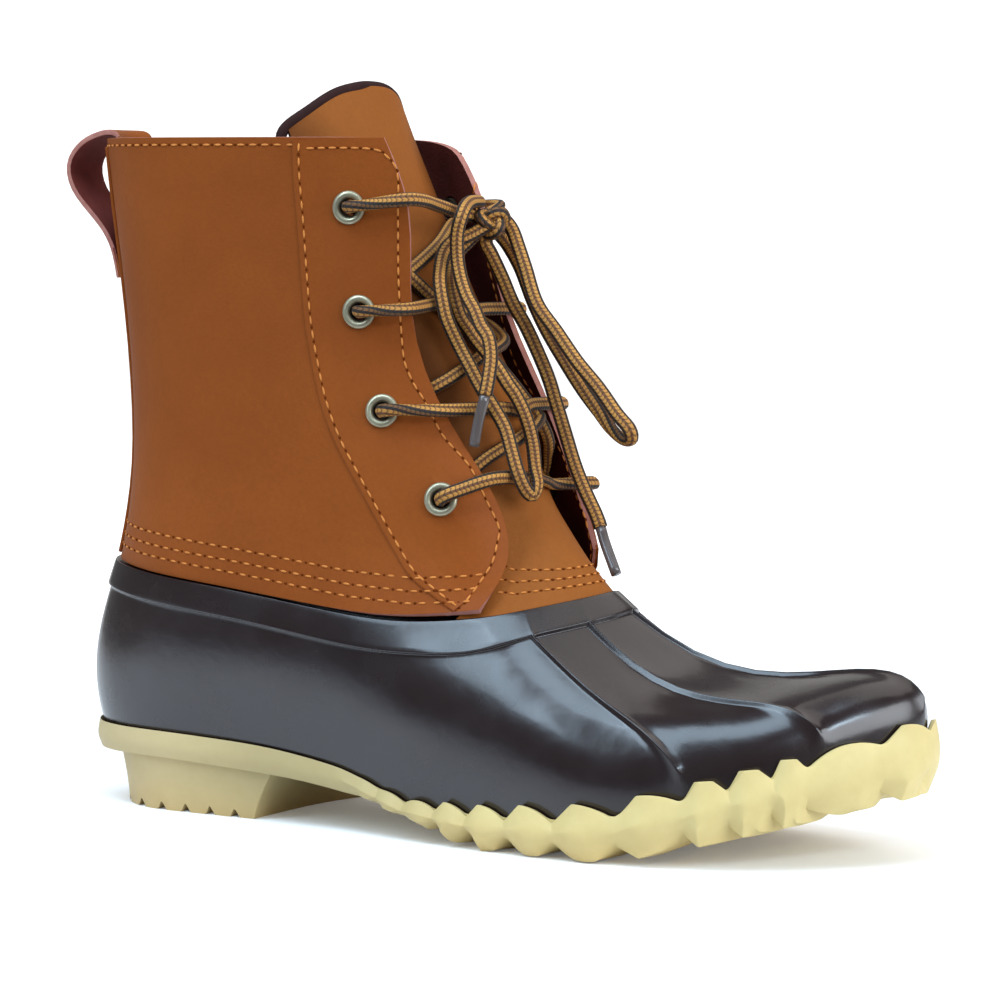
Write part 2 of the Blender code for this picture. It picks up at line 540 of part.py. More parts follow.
def make_outsole(finish):
    """Cream sole with rim, waist, chain lugs and heel in one moulding."""
    turns, wave, tread = sole_columns()
    shares = np.minimum(turns, 1 - turns)
    lugs = np.clip((shares - crease_turns()[0]) / LUG_FADE, 0, 1)
    bottom = ring_level(column(SOLE, "bottom", RIM_HEIGHT), turns)
    bed = ring_level(column(SOLE, "bed", RIM_HEIGHT), turns)
    rim = ring_level(column(SOLE, "rim", RIM_HEIGHT), turns)
    rim = rim + wave * ring_level(column(SOLE, "rise", LUG_RISE), turns)
    groove = np.clip(bed - bottom - GROOVE_FLOOR, 0, GROOVE) * lugs
    low = bottom + groove * (1 - wave)

    def level_ring(inset, z):
        return np.column_stack([plan(turns, inset)[0], z])

    def snug_ring(z):
        rise = rise_at_height(turns, z)
        skin = shell_point(turns, rise)
        out = shell_normal(turns, rise)[:, :2]
        out /= np.linalg.norm(out, axis=1)[:, None]
        step = np.linalg.norm(skin - np.roll(skin, 1, axis=0), axis=1)
        gap = GAP + SNUG * np.maximum(step, np.roll(step, -1))
        skin[:, :2] += out * gap[:, None]
        return np.column_stack([skin[:, :2], z])

    rings = []
    for row in RIM:
        inset = LUG_BULGE * (row.plain + lugs * (row.crease - wave * row.lug))
        rings.append(level_ring(inset, low + (rim - low) * row.height))
    rings.append(snug_ring(np.maximum(rim - 0.5 * BED_LIP, bed + BED_LIP)))
    rings.append(snug_ring(bed))
    count = len(turns)
    points = [point for each in rings for point in each]
    index = np.arange(len(points)).reshape(len(rings), count)
    faces = grid_faces(index, wrap_columns=True)

    def tread_point(i, share):
        near = rings[0][i]
        far = rings[0][-i]
        point = near + (far - near) * share
        edge_fade = min(1.0, 6 * share, 6 * (1 - share))
        toe_fade = min(1.0, (count // 2 - i) / CHAIN_FADE)
        point[0] += CHAIN_SWING * math.sin(3 * math.pi * share) * edge_fade * lugs[i] * toe_fade
        point[2] = bottom[i] + groove[i] * (1 - tread[i])
        return point

    def bed_point(i, share):
        near = rings[-1][i]
        return near + (rings[-1][-i] - near) * share

    ladder(points, faces, index[0], 8, tread_point)
    ladder(points, faces, index[-1], 3, bed_point)
    sole = piece("outsole", points, faces, finish, smooth=30)
    boolean(sole, make_heel(finish), "UNION")
    boolean(sole, make_notches(finish), "DIFFERENCE")
    return sole


def heel_outline(radius, breast):
    """Round-backed outline of the heel from above, from the lateral breast corner to the medial one."""
    straight = HEEL_MIDDLE + HEEL_STRAIGHT
    corner = [(breast - BREAST_SKEW, -radius * 1.01), (straight, -radius * 1.01)]
    steps = 12
    arc = [(HEEL_MIDDLE - radius * math.sin(math.pi * k / steps), -radius * math.cos(math.pi * k / steps))
           for k in range(steps + 1)]
    far_corner = [(straight, radius * 1.01), (breast + BREAST_SKEW, radius * 1.01)]
    hollow = [(breast - 0.67 * BREAST_HOLLOW, radius * 0.45), (breast - BREAST_HOLLOW, -radius * 0.4)]
    return corner + arc + far_corner + hollow


def make_heel(finish):
    """Heel block, let a little into the sole's underside."""
    lower = heel_outline(HEEL_RADIUS, BREAST)
    upper = heel_outline(HEEL_RADIUS + HEEL_FLARE, BREAST + BREAST_SLOPE)
    middle = heel_outline(HEEL_RADIUS + 0.35 * HEEL_FLARE, BREAST + 0.3 * BREAST_SLOPE)
    dense = np.linspace(0, 0.5, 200)
    x = plan(dense)[0][:, 0]
    under = ring_level(column(SOLE, "bottom", RIM_HEIGHT), dense)
    tops = np.interp([point[0] for point in upper], x, under) + HEEL_LET_IN
    points = [(*point, 0.0) for point in lower]
    points += [(*point, top * 0.45) for point, top in zip(middle, tops)]
    points += [(*point, top) for point, top in zip(upper, tops)]
    count = len(lower)
    faces = grid_faces(np.arange(3 * count).reshape(3, count), wrap_columns=True)
    middle_x = HEEL_MIDDLE + HEEL_STRAIGHT / 3
    points.append((middle_x, 0.0, 0.0))
    points.append((middle_x, 0.0, float(np.interp(middle_x, x, under)) + HEEL_LET_IN))
    for j in range(count):
        after = (j + 1) % count
        faces.append((j, after, 3 * count))
        faces.append((2 * count + j, 2 * count + after, 3 * count + 1))
    return piece("heel_block", points, faces, finish)


def make_notches(finish):
    """Wedges that notch both sides of the heel's tread."""
    points = []
    faces = []
    for x in np.linspace(HEEL_MIDDLE - 0.75 * HEEL_RADIUS, BREAST - 2 * NOTCH_WIDTH, 6):
        past = x - HEEL_MIDDLE
        half = HEEL_RADIUS if past > 0 else math.sqrt(HEEL_RADIUS ** 2 - past ** 2)
        for side in (-1, 1):
            start = len(points)
            for y in (side * (half - NOTCH_REACH * 0.7), side * (half + NOTCH_REACH * 0.6)):
                points.append((x - NOTCH_WIDTH / 2, y, -NOTCH_DEPTH / 3))
                points.append((x + NOTCH_WIDTH / 2, y, -NOTCH_DEPTH / 3))
                points.append((x, y, NOTCH_DEPTH))
            faces += [(start, start + 1, start + 2), (start + 3, start + 5, start + 4)]
            for k in range(3):
                after = (k + 1) % 3
                faces.append((start + k, start + after, start + 3 + after, start + 3 + k))
    return piece("heel_notches", points, faces, finish)


def shell_columns():
    """Turns of the rubber shoe's columns, closer at each vamp rib, and the rib's height at each."""
    turns = []
    rib = []
    for turn in np.arange(60) / 60:
        if min(abs(turn - at) for at in RIB_TURNS) > 2.2 * RIB_HALF:
            turns.append(turn)
            rib.append(0.0)
    for at in RIB_TURNS:
        turns += [at - RIB_HALF, at, at + RIB_HALF]
        rib += [0.0, RIB_RISE, 0.0]
    order = np.argsort(turns)
    return np.array(turns)[order], np.array(rib)[order]


def slid(turns, share):
    """Turns of the columns at a share of the way up the vamp, where they follow the ribs' course."""
    return turns + np.interp(share, *RIB_COURSE) * np.interp(turns, *RIB_PULL)


def wall_rises(turns):
    """Rises at which the rubber shoe's ribbed wall begins above the sole and ends below the band."""
    rim = ring_level(column(SOLE, "rim", RIM_HEIGHT), turns)
    lip = rise_at_height(turns, rim + ring_level(column(SOLE, "rise", LUG_RISE), turns) + GAP)
    span = np.linalg.norm(shell_point(turns, 1.0) - shell_point(turns, 0.97), axis=1) / 0.03
    return lip, 1 - BAND_HEIGHT / span


def lean_direction(turns):
    """Direction in which the leather carries on above the rubber's edge."""
    lean = ring(np.array(FLANGE_LEAN), turns)
    out = plan(turns)[1]
    return np.column_stack([-out * np.sin(lean)[:, None], np.cos(lean)])


def flange_points(shaft_skin, tongue_skin, turns, height):
    """Outer face of the rubber's flange, just inside the leather and the tongue."""
    side = np.minimum(turns, 1 - turns)
    sign = np.where(turns < 0.5, -1, 1)
    places = np.clip(sign * side / FACING_TURN, -1, 1)
    lift = np.clip((np.abs(places) - 0.5) / 0.35, 0, 1) * FACING_LIFT
    share = height / (COLLAR_HEIGHT - EDGE_HEIGHT)
    under = shaft_skin.grid([share], places)[0]
    under -= shaft_skin.normals([share], places)[0] * (LEATHER + 3 * GAP + lift)[:, None]
    places = np.clip((turns - 0.5) / (0.5 - TONGUE_TURN), -1, 1)
    share = height / (TONGUE_HEIGHT - EDGE_HEIGHT)
    middle = tongue_skin.grid([share], places)[0]
    middle -= tongue_skin.normals([share], places)[0] * (TONGUE_BASE + 5 * GAP)
    return np.where((side > TONGUE_TURN)[:, None], middle, under)


def make_shell(shaft_skin, tongue_skin, finish):
    """Rubber shoe: one wall from the sole's bed to the flange inside the leather."""
    columns, rib = shell_columns()
    rows = [shell_point(slid(columns, 0.0), 0.0)]
    for share, fade in ((0.0, 0), (0.07, 1), (0.15, 1), (0.25, 1), (0.37, 1), (0.5, 1), (0.66, 1), (0.83, 1), (1.0, 1)):
        turns = slid(columns, share)
        lip, band = wall_rises(turns)
        rise = lip + (band - lip) * share
        rows.append(shell_point(turns, rise) + shell_normal(turns, rise) * (rib * fade)[:, None])
    # the band stands over the ribs, which run out under it
    top = edge(turns)
    out_top = shell_normal(turns, 0.98)
    out_band = shell_normal(turns, band)
    lift = np.maximum(BAND_RISE, rib)[:, None]
    rows.append(shell_point(turns, band + BAND_STEP) + out_band * lift)
    rows.append(top + out_top * BAND_RISE)
    flange_out = flange_points(shaft_skin, tongue_skin, turns, 0.0) - lean_direction(turns) * 3 * GAP
    rows.append(flange_out)
    flange_top = flange_points(shaft_skin, tongue_skin, turns, FLANGE_HEIGHT)
    rows.append(flange_top)
    rows.append(flange_top - out_top * FLANGE)
    rows.append(flange_out - out_top * FLANGE)
    for share in (0.93, 0.78, 0.6, 0.4, 0.2):
        turns = slid(columns, share)
        rise = share * wall_rises(turns)[1]
        rows.append(shell_point(turns, rise) - shell_normal(turns, rise) * RUBBER)
    turns = slid(columns, 0.0)
    foot = shell_point(turns, 0.0)
    foot[:, :2] -= plan(turns)[1] * RUBBER
    rows.append(foot)
    points = np.concatenate(rows)
    index = np.arange(len(points)).reshape(len(rows), len(turns))
    return piece("rubber_shell", points, grid_faces(index, wrap_rows=True, wrap_columns=True), finish)


def make_insole(finish):
    """Flat liner on the sole's bed, inside the rubber."""
    count = 36
    turns = np.arange(count) / count
    inset = ring(column(SHELL, "inset", MM), turns) + RUBBER + 5 * GAP
    outline = plan(turns, inset)[0]
    bed = ring_level(column(SOLE, "bed", RIM_HEIGHT), turns)
    bed = bed + 2 * GAP
    rings = [np.column_stack([outline, bed]), np.column_stack([outline, bed + INSOLE])]
    points = [point for each in rings for point in each]
    index = np.arange(len(points)).reshape(2, count)
    faces = grid_faces(index, wrap_columns=True)
    for level_row in (0, 1):
        def across(i, share, outline_ring=rings[level_row]):
            return outline_ring[i] + (outline_ring[-i] - outline_ring[i]) * share
        ladder(points, faces, index[level_row], 3, across)
    return piece("insole", points, faces, finish)


def shaft_foot(places):
    """Foot of the leather's outer face, on the rubber's edge."""
    places = np.clip(places, -1, 1)
    turns = np.where(places < 0, -places * FACING_TURN, 1 - places * FACING_TURN) % 1.0
    lift = np.clip((np.abs(places) - 0.5) / 0.35, 0, 1)[:, None] * FACING_LIFT
    return edge(turns) + lean_direction(turns) * (2 * GAP + 0.5 * lift) + shell_normal(turns, 0.98) * lift


def shaft_net():
    """Points that the leather's outer face passes through, a row for each height."""
    foot = shaft_foot(np.array(SHAFT_PLACES))
    net = [foot]
    for row in SHAFT:
        z = leather_height(row.z)
        flat = (
            (row.lateral_x, -row.lateral_y), (row.lateral_eye_x, -row.lateral_eye_y), (row.side_x, -row.side_y),
            (row.heel_x, -row.heel_y), (row.back, 0.0), (row.heel_x, row.heel_y), (row.side_x, row.side_y),
            (row.medial_eye_x, row.medial_eye_y), (row.medial_x, row.medial_y),
        )
        net.append(np.array([(x * LENGTH, y * HALF_ANKLE, z) for x, y in flat]))
    net[-1][-1, 2] -= FACING_DIP
    return np.array(net)


def tongue_foot(places):
    """Foot of the tongue's front face, on the rubber's edge."""
    turns = 0.5 + np.clip(places, -1, 1) * (0.5 - TONGUE_TURN)
    return edge(turns) + lean_direction(turns) * 2 * GAP


def tongue_net():
    """Points that the tongue's front face passes through."""
    net = [tongue_foot(np.array(TONGUE_PLACES))]
    for row in TONGUE:
        z = EDGE_HEIGHT + row.z * (TONGUE_HEIGHT - EDGE_HEIGHT)
        net.append(np.array([
            (row.x * LENGTH + (row.turn * row.half * place - row.drop * place ** 2) * HALF_ANKLE,
             place * row.half * HALF_ANKLE, z)
            for place in TONGUE_PLACES
        ]))
    net[-1][:, 2] -= TONGUE_ROUND * np.abs(TONGUE_PLACES) ** 2.3
    return np.array(net)


class Skin:
    """Smooth surface through a net of points, read at shares up it and places across it."""

    def __init__(self, net, shares, places, out, foot=None):
        self.net = net
        self.shares = shares
        self.places = places
        self.out = out
        self.foot = foot
        self.cover = None

    def grid(self, shares, places):
        """Points for every share and place: an array of rows."""
        up = weights(self.shares, shares)
        over = weights(self.places, places)
        points = np.einsum("rk,kcx,pc->rpx", up, self.net, over)
        if self.foot is not None:
            short = self.foot(np.asarray(places, float)) - over @ self.net[0]
            fade = np.clip(1 - np.asarray(shares, float) / FOOT_BLEND, 0, 1) ** 2
            points = points + fade[:, None, None] * short[None, :, :]
        return points

    def normals(self, shares, places):
        """Outward directions for every share and place."""
        tiny = 1e-3
        shares = np.asarray(shares, float)
        places = np.asarray(places, float)
        up = self.grid(np.minimum(shares + tiny, 1), places) - self.grid(np.maximum(shares - tiny, 0), places)
        over = self.grid(shares, places + tiny) - self.grid(shares, places - tiny)
        normal = np.cross(up, over) * self.out
        return normal / np.linalg.norm(normal, axis=2)[:, :, None]

    def at(self, share, place):
        """One point and its outward direction."""
        return self.grid([share], [place])[0, 0], self.normals([share], [place])[0, 0]

    def under(self, point):
        """Outward direction nearest to a point, and the point's height over the skin."""
        if self.cover is None:
            shares = np.linspace(0.05, 1, 70)
            places = np.linspace(-1, 1, 61)
            self.cover = self.grid(shares, places).reshape(-1, 3), self.normals(shares, places).reshape(-1, 3)
        points, normals = self.cover
        gap = point - points
        nearest = np.argmin((gap ** 2).sum(axis=1))
        return normals[nearest], gap[nearest] @ normals[nearest]


def tucked(skin, shaft_skin):
    """Tongue skin pressed in where it runs under the facings."""
    shares = np.array([0, 0.022, 0.045, 0.07, 0.1, 0.145, 0.2, 0.27, 0.36, 0.46, 0.57, 0.68, 0.79, 0.88, 0.95, 1.0])
    places = np.linspace(-1, 1, 13)
    net = skin.grid(shares, places)
    above = np.linspace(0, 1, 60)
    facing = np.linspace(0.45, 1, 24)
    across = np.concatenate([-facing[::-1], facing])
    cover = shaft_skin.grid(above, across).reshape(-1, 3)
    normal = shaft_skin.normals(above, across).reshape(-1, 3)
    depth = np.repeat(np.interp(above, TUCK_SHARES, TUCK) * MM, len(across))
    for point in net.reshape(-1, 3):
        gap = point - cover
        nearest = np.argmin((gap ** 2).sum(axis=1))
        high = gap[nearest] @ normal[nearest]
        beside = math.sqrt(max(0.0, gap[nearest] @ gap[nearest] - high ** 2))
        fade = max(0.0, 1 - beside / TUCK_FADE)
        push = max(0.0, high + depth[nearest]) * fade ** 2 * (3 - 2 * fade)
        point -= normal[nearest] * push
    return Skin(net, shares, places, skin.out)


def make_shaft(skin, finish):
    """Leather wall from the lateral facing round the heel to the medial one."""
    shares = np.array([0, 0.05, 0.1, 0.15, 0.205, 0.265, 0.34, 0.43, 0.53, 0.64, 0.75, 0.86, 0.94, 1.0])
    near = np.array([1, 0.91, 0.82, 0.73, 0.64, 0.54, 0.44, 0.35, 0.28, 0.21, 0.14, 0.07])
    places = np.concatenate([-near, [0.0], near[::-1]])
    outer = skin.grid(shares, places)
    inner = outer - skin.normals(shares, places) * LEATHER
    shaft = slab("leather_shaft", outer, inner, finish)
    boolean(shaft, make_punches(skin, finish), "DIFFERENCE")
    return shaft


def make_punches(skin, finish):
    """Round punches for the eyelets."""
    points = []
    faces = []
    sides = 12
    for side in (-1, 1):
        for share in EYELET_SHARES:
            centre, normal = skin.at(share, side * EYELET_PLACE)
            turn = Vector(normal).to_track_quat("Z", "Y")
            start = len(points)
            for depth in (-4 * MM, 3 * MM):
                for k in range(sides):
                    angle = 2 * math.pi * k / sides
                    flat = Vector((PUNCH_RADIUS * math.cos(angle), PUNCH_RADIUS * math.sin(angle), depth))
                    points.append(tuple(Vector(centre) + turn @ flat))
            near = list(range(start, start + sides))
            far = list(range(start + sides, start + 2 * sides))
            faces += [tuple(near), tuple(far)]
            faces += [(near[k], near[(k + 1) % sides], far[(k + 1) % sides], far[k]) for k in range(sides)]
    return piece("eyelet_punches", points, faces, finish)


def make_stay(skin, finish):
    """Leather strip over the back seam."""
    shares = np.array([0.01, 0.1, 0.2, 0.3, 0.42, 0.56, 0.7, 0.82, 0.91, 0.985])
    girth = skin.grid([0.5], [-0.1, 0.1])[0]
    reach = STAY_HALF * 0.2 / np.linalg.norm(girth[1] - girth[0])
    places = np.linspace(-reach, reach, 5)
    outer = skin.grid(shares, places)
    normal = skin.normals(shares, places)
    return slab("back_stay", outer + normal * (GAP + STAY), outer + normal * GAP, finish)


def make_tongue(skin, finish):
    """Tongue, thin at its base and padded above the rubber's flange."""
    shares = skin.shares
    places = skin.places
    outer = skin.net
    depth = TONGUE_BASE + (TONGUE_PAD - TONGUE_BASE) * np.clip((shares - 0.2) / 0.15, 0, 1)
    inner = outer - skin.normals(shares, places) * depth[:, None, None]
    return slab("tongue", outer, inner, finish)


def make_loop(skin, finish):
    """Strap from inside the collar over its edge and down to the back stay."""
    inside, inside_out = skin.at(0.90, 0.0)
    below, below_out = skin.at(0.97, 0.0)
    rim, rim_out = skin.at(1.0, 0.0)
    low, low_out = skin.at(0.70, 0.0)
    lower, lower_out = skin.at(0.77, 0.0)
    depth = LEATHER + 4 * GAP
    proud = STAY + 2 * GAP
    up = np.array([0, 0, 1.0])
    back = np.array([-1.0, 0, 0])
    # points of its inner face, and how far each follows the round of the heel
    path = (
        (inside - inside_out * depth, 1.0),
        (below - below_out * depth, 1.0),
        (rim - rim_out * depth, 1.0),
        (rim - rim_out * 0.5 * LEATHER + up * 4 * GAP, 1.0),
        (rim + back * 0.22 * LOOP_REACH + up * 3 * GAP, 0.8),
        (rim + back * 0.63 * LOOP_REACH - up * 0.06 * LOOP_DROP, 0.2),
        (rim + back * LOOP_REACH - up * 0.31 * LOOP_DROP, 0.0),
        (rim + back * 0.74 * LOOP_REACH - up * 0.65 * LOOP_DROP, 0.0),
        (rim + back * 0.11 * LOOP_REACH - up * LOOP_DROP, 0.6),
        (lower + lower_out * (proud + 2 * GAP), 1.0),
        (low + low_out * proud, 1.0),
    )
    places = np.array([point for point, _ in path])
    knots = np.concatenate([[0], np.cumsum(np.linalg.norm(np.diff(places, axis=0), axis=1))])
    knots = knots / knots[-1]
    spread = np.sort(np.concatenate([knots, (knots[1:] + knots[:-1]) / 2]))
    line = weights(knots, spread) @ places
    hold = np.interp(spread, knots, [follow for _, follow in path])
    ahead = np.gradient(line, spread, axis=0)
    side = np.cross(ahead, np.array([0, 1.0, 0]))
    side /= np.linalg.norm(side, axis=1)[:, None]
    reach = np.linspace(-0.5, 0.5, 5) * LOOP_WIDTH
    curl = reach ** 2 / (2 * COLLAR_ROUND)
    under = np.repeat(line[:, None, :], len(reach), axis=1)
    under[:, :, 1] += reach
    under[:, :, 0] += hold[:, None] * curl
    over = under + side[:, None, :] * -LOOP
    return slab("pull_loop", over, under, finish)


def make_eyelets(skin, finish):
    """Turned eyelets with a rolled rim outside and a washer inside."""
    inner = -LEATHER - WASHER_GAP
    washer = EYELET_RADIUS - FLANGE_STEP
    profile = (
        (EYELET_BORE, inner - WASHER), (EYELET_BORE, 0.5 * EYELET_ROLL), (EYELET_BORE + FLANGE_STEP, EYELET_ROLL),
        (EYELET_RADIUS, EYELET_SEAT), (EYELET_BORE + BARREL, EYELET_SEAT), (EYELET_BORE + BARREL, inner),
        (washer, inner), (washer, inner - WASHER),
    )
    sides = 10
    points = []
    for radius, height in profile:
        for k in range(sides):
            angle = 2 * math.pi * k / sides
            points.append((radius * math.cos(angle), radius * math.sin(angle), height))
    index = np.arange(len(points)).reshape(len(profile), sides)
    for side, label in ((-1, "lateral"), (1, "medial")):
        for number, share in enumerate(EYELET_SHARES, start=1):
            centre, normal = skin.at(share, side * EYELET_PLACE)
            faces = grid_faces(index, wrap_rows=True, wrap_columns=True)
            ring_piece = piece(f"eyelet_{label}_{number}", points, faces, finish)
            ring_piece.location = Vector(centre)
            ring_piece.rotation_euler = Vector(normal).to_track_quat("Z", "Y").to_euler()


def share_at(skin, place, height):
    """Share of the skin's height at which it reaches a height above the floor."""
    low = 0.0
    high = 1.0
    for _ in range(24):
        middle = (low + high) / 2
        if skin.grid([middle], [place])[0, 0, 2] > height:
            high = middle
        else:
            low = middle
    return low


def lifted(skin, place, height, lift):
    """Point at a distance above a skin, at a height above the floor."""
    point, normal = skin.at(share_at(skin, place, height), place)
    return point + normal * lift


def eyelet_frame(skin, number):
    """Middle and outward direction of an eyelet, counted from the top, with the lateral ones negative."""
    return skin.at(EYELET_SHARES[abs(number) - 1], math.copysign(EYELET_PLACE, number))


def eyelet_passage(skin, number, inside, outside):
    """Lace through an eyelet on its way from a point inside the leather to one outside, with radii."""
    centre, normal = eyelet_frame(skin, number)
    ways = []
    for target in (inside, outside):
        way = target[:3] - centre
        way = way - normal * (way @ normal)
        ways.append(way / np.linalg.norm(way))
    rows = []
    for row in PASSAGE:
        way = ways[0] if row.high < 0 else ways[1]
        point = centre + way * row.along * MM + normal * row.high * MM
        if row.along * MM > EYELET_RADIUS:
            beside, high = skin.under(point)
            point += beside * (row.high * MM - high)
        rows.append([*point, row.radius * MM])
    return np.array(rows)


def run_middle(row, shaft_skin, tongue_skin):
    """Lace where a run crosses the tongue, in the order it takes, with radii."""
    lift = LACE_RADIUS + 2 * GAP
    heights = (row.near, row.middle, row.far)
    places = INNER_PLACES if row.inside else BAR_PLACES
    points = [lifted(tongue_skin, place, leather_height(high), lift) for place, high in zip(places, heights)]
    if not row.inside:
        points.insert(0, over_facing(shaft_skin, -1.0, row.near))
        points.append(over_facing(shaft_skin, 1.0, row.far))
    rows = np.array([[*point, LACE_RADIUS] for point in points])
    return rows if row.start < 0 else rows[::-1]


def over_facing(skin, place, height):
    """Point of a lace over a facing's edge."""
    return lifted(skin, place, leather_height(height), LACE_RADIUS + EDGE_CLEAR)


def tail(skin, place, height, rows):
    """Free part of the laced run, from over a facing's edge to the knot, with radii."""
    points = [over_facing(skin, place, height)] + [route_point(row) for row in rows]
    return np.array([[*point, LACE_RADIUS] for point in points])


def kept_off(line, skin):
    """Lace pushed off a skin where it comes too near."""
    line = line.copy()
    for row in line:
        normal, high = skin.under(row[:3])
        row[:3] += normal * max(0.0, row[3] * (1 + LACE_CLEAR) - high)
    return line


def tube(name, points, skin, finish, step=9 * MM, sides=6):
    """Closed tube along a smooth curve through the points, kept off a skin."""
    knots = np.concatenate([[0], np.cumsum(np.linalg.norm(np.diff(points[:, :3], axis=0), axis=1))])
    spread = [0.0]
    for start, end in zip(knots, knots[1:]):
        parts = max(1, round((end - start) / step))
        spread += [start + (end - start) * (k + 1) / parts for k in range(parts)]
    line = weights(knots, np.array(spread)) @ points
    line[:, 3] = np.interp(spread, knots, points[:, 3])
    line = kept_off(line, skin)
    ahead = np.gradient(line[:, :3], np.array(spread), axis=0)
    ahead /= np.linalg.norm(ahead, axis=1)[:, None]
    side = np.cross(ahead[0], (0.0, 0.0, 1.0))
    angles = 2 * np.pi * np.arange(sides) / sides
    rows = []
    for point, way in zip(line, ahead):
        side = side - way * (side @ way)
        side /= np.linalg.norm(side)
        other = np.cross(way, side)
        ring_points = np.cos(angles)[:, None] * side + np.sin(angles)[:, None] * other
        rows.append(point[:3] + point[3] * ring_points)
    index = np.arange(len(rows) * sides).reshape(len(rows), sides)
    faces = grid_faces(index, wrap_columns=True) + [tuple(index[0]), tuple(index[-1])]
    return piece(name, np.concatenate(rows), faces, finish, smooth=60)


def make_crossings(shaft_skin, tongue_skin, finish):
    """The laced part of the lace: three bars, the diagonals under them and both runs to the knot."""
    far_tail = tail(shaft_skin, 1.0, FAR_TAIL_HEIGHT, FAR_TAIL)[::-1]
    near_tail = tail(shaft_skin, -1.0, NEAR_TAIL_HEIGHT, NEAR_TAIL)
    middles = [run_middle(row, shaft_skin, tongue_skin) for row in RUNS]
    route = [far_tail]
    before = far_tail[-1]
    for row, middle in zip(RUNS, middles):
        if row.inside:
            route.append(eyelet_passage(shaft_skin, row.start, middle[0], before)[::-1])
        else:
            route.append(eyelet_passage(shaft_skin, row.start, before, middle[0]))
        route.append(middle)
        before = middle[-1]
    bars = tube("lace_crossings", np.concatenate(route[:-1]), tongue_skin, finish)
    # the long diagonal begins inside the end of the run before it
    under = route[-2][-2:].mean(axis=0)
    under[3] = 0.7 * LACE_SQUEEZED
    through = eyelet_passage(shaft_skin, RUNS[-1].end, before, near_tail[0])
    long_route = np.concatenate([[under], middles[-1], through, near_tail])
    boolean(bars, tube("long_diagonal", long_route, tongue_skin, finish), "UNION")
    return bars


def route_point(row):
    """A point of the bow's routes, in metres."""
    return np.array([row.x * LENGTH, row.y * HALF_ANKLE, leather_height(row.z)])


def make_cord(name, points, finish, step=CORD_STEP * LACE_RADIUS):
    """Round cord along a smooth curve through the points."""
    points = np.array(points)
    knots = np.concatenate([[0], np.cumsum(np.linalg.norm(np.diff(points, axis=0), axis=1))])
    count = max(4, round(knots[-1] / step)) + 1
    line = weights(knots, np.linspace(0, knots[-1], count)) @ points
    curve = bpy.data.curves.new(name, "CURVE")
    curve.dimensions = "3D"
    curve.bevel_depth = LACE_RADIUS
    curve.bevel_resolution = 2
    curve.use_fill_caps = True
    spline = curve.splines.new("POLY")
    spline.points.add(count - 1)
    for target, point in zip(spline.points, line):
        target.co = (*map(float, point), 1.0)
    curve.materials.append(finish)
    made = bpy.data.objects.new(name, curve)
    bpy.context.scene.collection.objects.link(made)
    made.parent = BOOT
    return made


def make_bow(finish):
    """Knot, loops and ends of the lace."""
    make_cord("lace_knot", [route_point(row) for row in KNOT], finish, step=KNOT_STEP * LACE_RADIUS)
    make_cord("lace_loop_near", [route_point(row) for row in NEAR_LOOP], finish)
    make_cord("lace_loop_far", [route_point(row) for row in FAR_LOOP], finish)
    make_cord("lace_end_near", [route_point(row) for row in NEAR_END], finish)
    make_cord("lace_end_far", [route_point(row) for row in FAR_END], finish)


def clear_scene():
    """Remove what the file opened with."""
    for thing in list(bpy.data.objects):
        bpy.data.objects.remove(thing)


clear_scene()
BOOT = bpy.data.objects.new("boot", None)
bpy.context.scene.collection.objects.link(BOOT)
BOOT.location = (-HEEL_REST, 0, 0)

CREAM = material("cream rubber", (0.72, 0.58, 0.32), 0.6)
BROWN = material("brown rubber", (0.035, 0.022, 0.02), 0.25)
TAN = material("tan leather", (0.28, 0.09, 0.03), 0.55)
LINING = material("lining", (0.05, 0.012, 0.012), 0.8)
BRASS = material("antique brass", (0.42, 0.38, 0.27), 0.35, 1.0)
LACE = material("lace", (0.45, 0.24, 0.06), 0.8)

SHAFT_SKIN = Skin(shaft_net(), [0.0] + [row.share for row in SHAFT], SHAFT_PLACES, 1, shaft_foot)
TONGUE_SKIN = Skin(tongue_net(), [0.0] + [row.share for row in TONGUE], TONGUE_PLACES, -1, tongue_foot)
TONGUE_SKIN = tucked(TONGUE_SKIN, SHAFT_SKIN)

make_outsole(CREAM)
make_shell(SHAFT_SKIN, TONGUE_SKIN, BROWN)
make_insole(LINING)
make_shaft(SHAFT_SKIN, TAN)
make_tongue(TONGUE_SKIN, TAN)
make_stay(SHAFT_SKIN, TAN)
make_loop(SHAFT_SKIN, TAN)
make_eyelets(SHAFT_SKIN, BRASS)
make_crossings(SHAFT_SKIN, TONGUE_SKIN, LACE)
make_bow(LACE)
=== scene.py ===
# %% [markdown]
# A duck boot is two boots in one: a moulded rubber shoe that keeps water out, and a leather shaft sewn to
# its edge. This lesson dresses the packed solids of such a boot. They are loaded as a fixed frame, in metres,
# and every piece is made in place around them. Camera and lace come first, because a lace that hangs free
# has to suit both the view and the solids. Lamps, rubber, leather, brass and stitches follow.

import math

import bpy
import numpy as np
from mathutils import Matrix, Vector
from mathutils.bvhtree import BVHTree


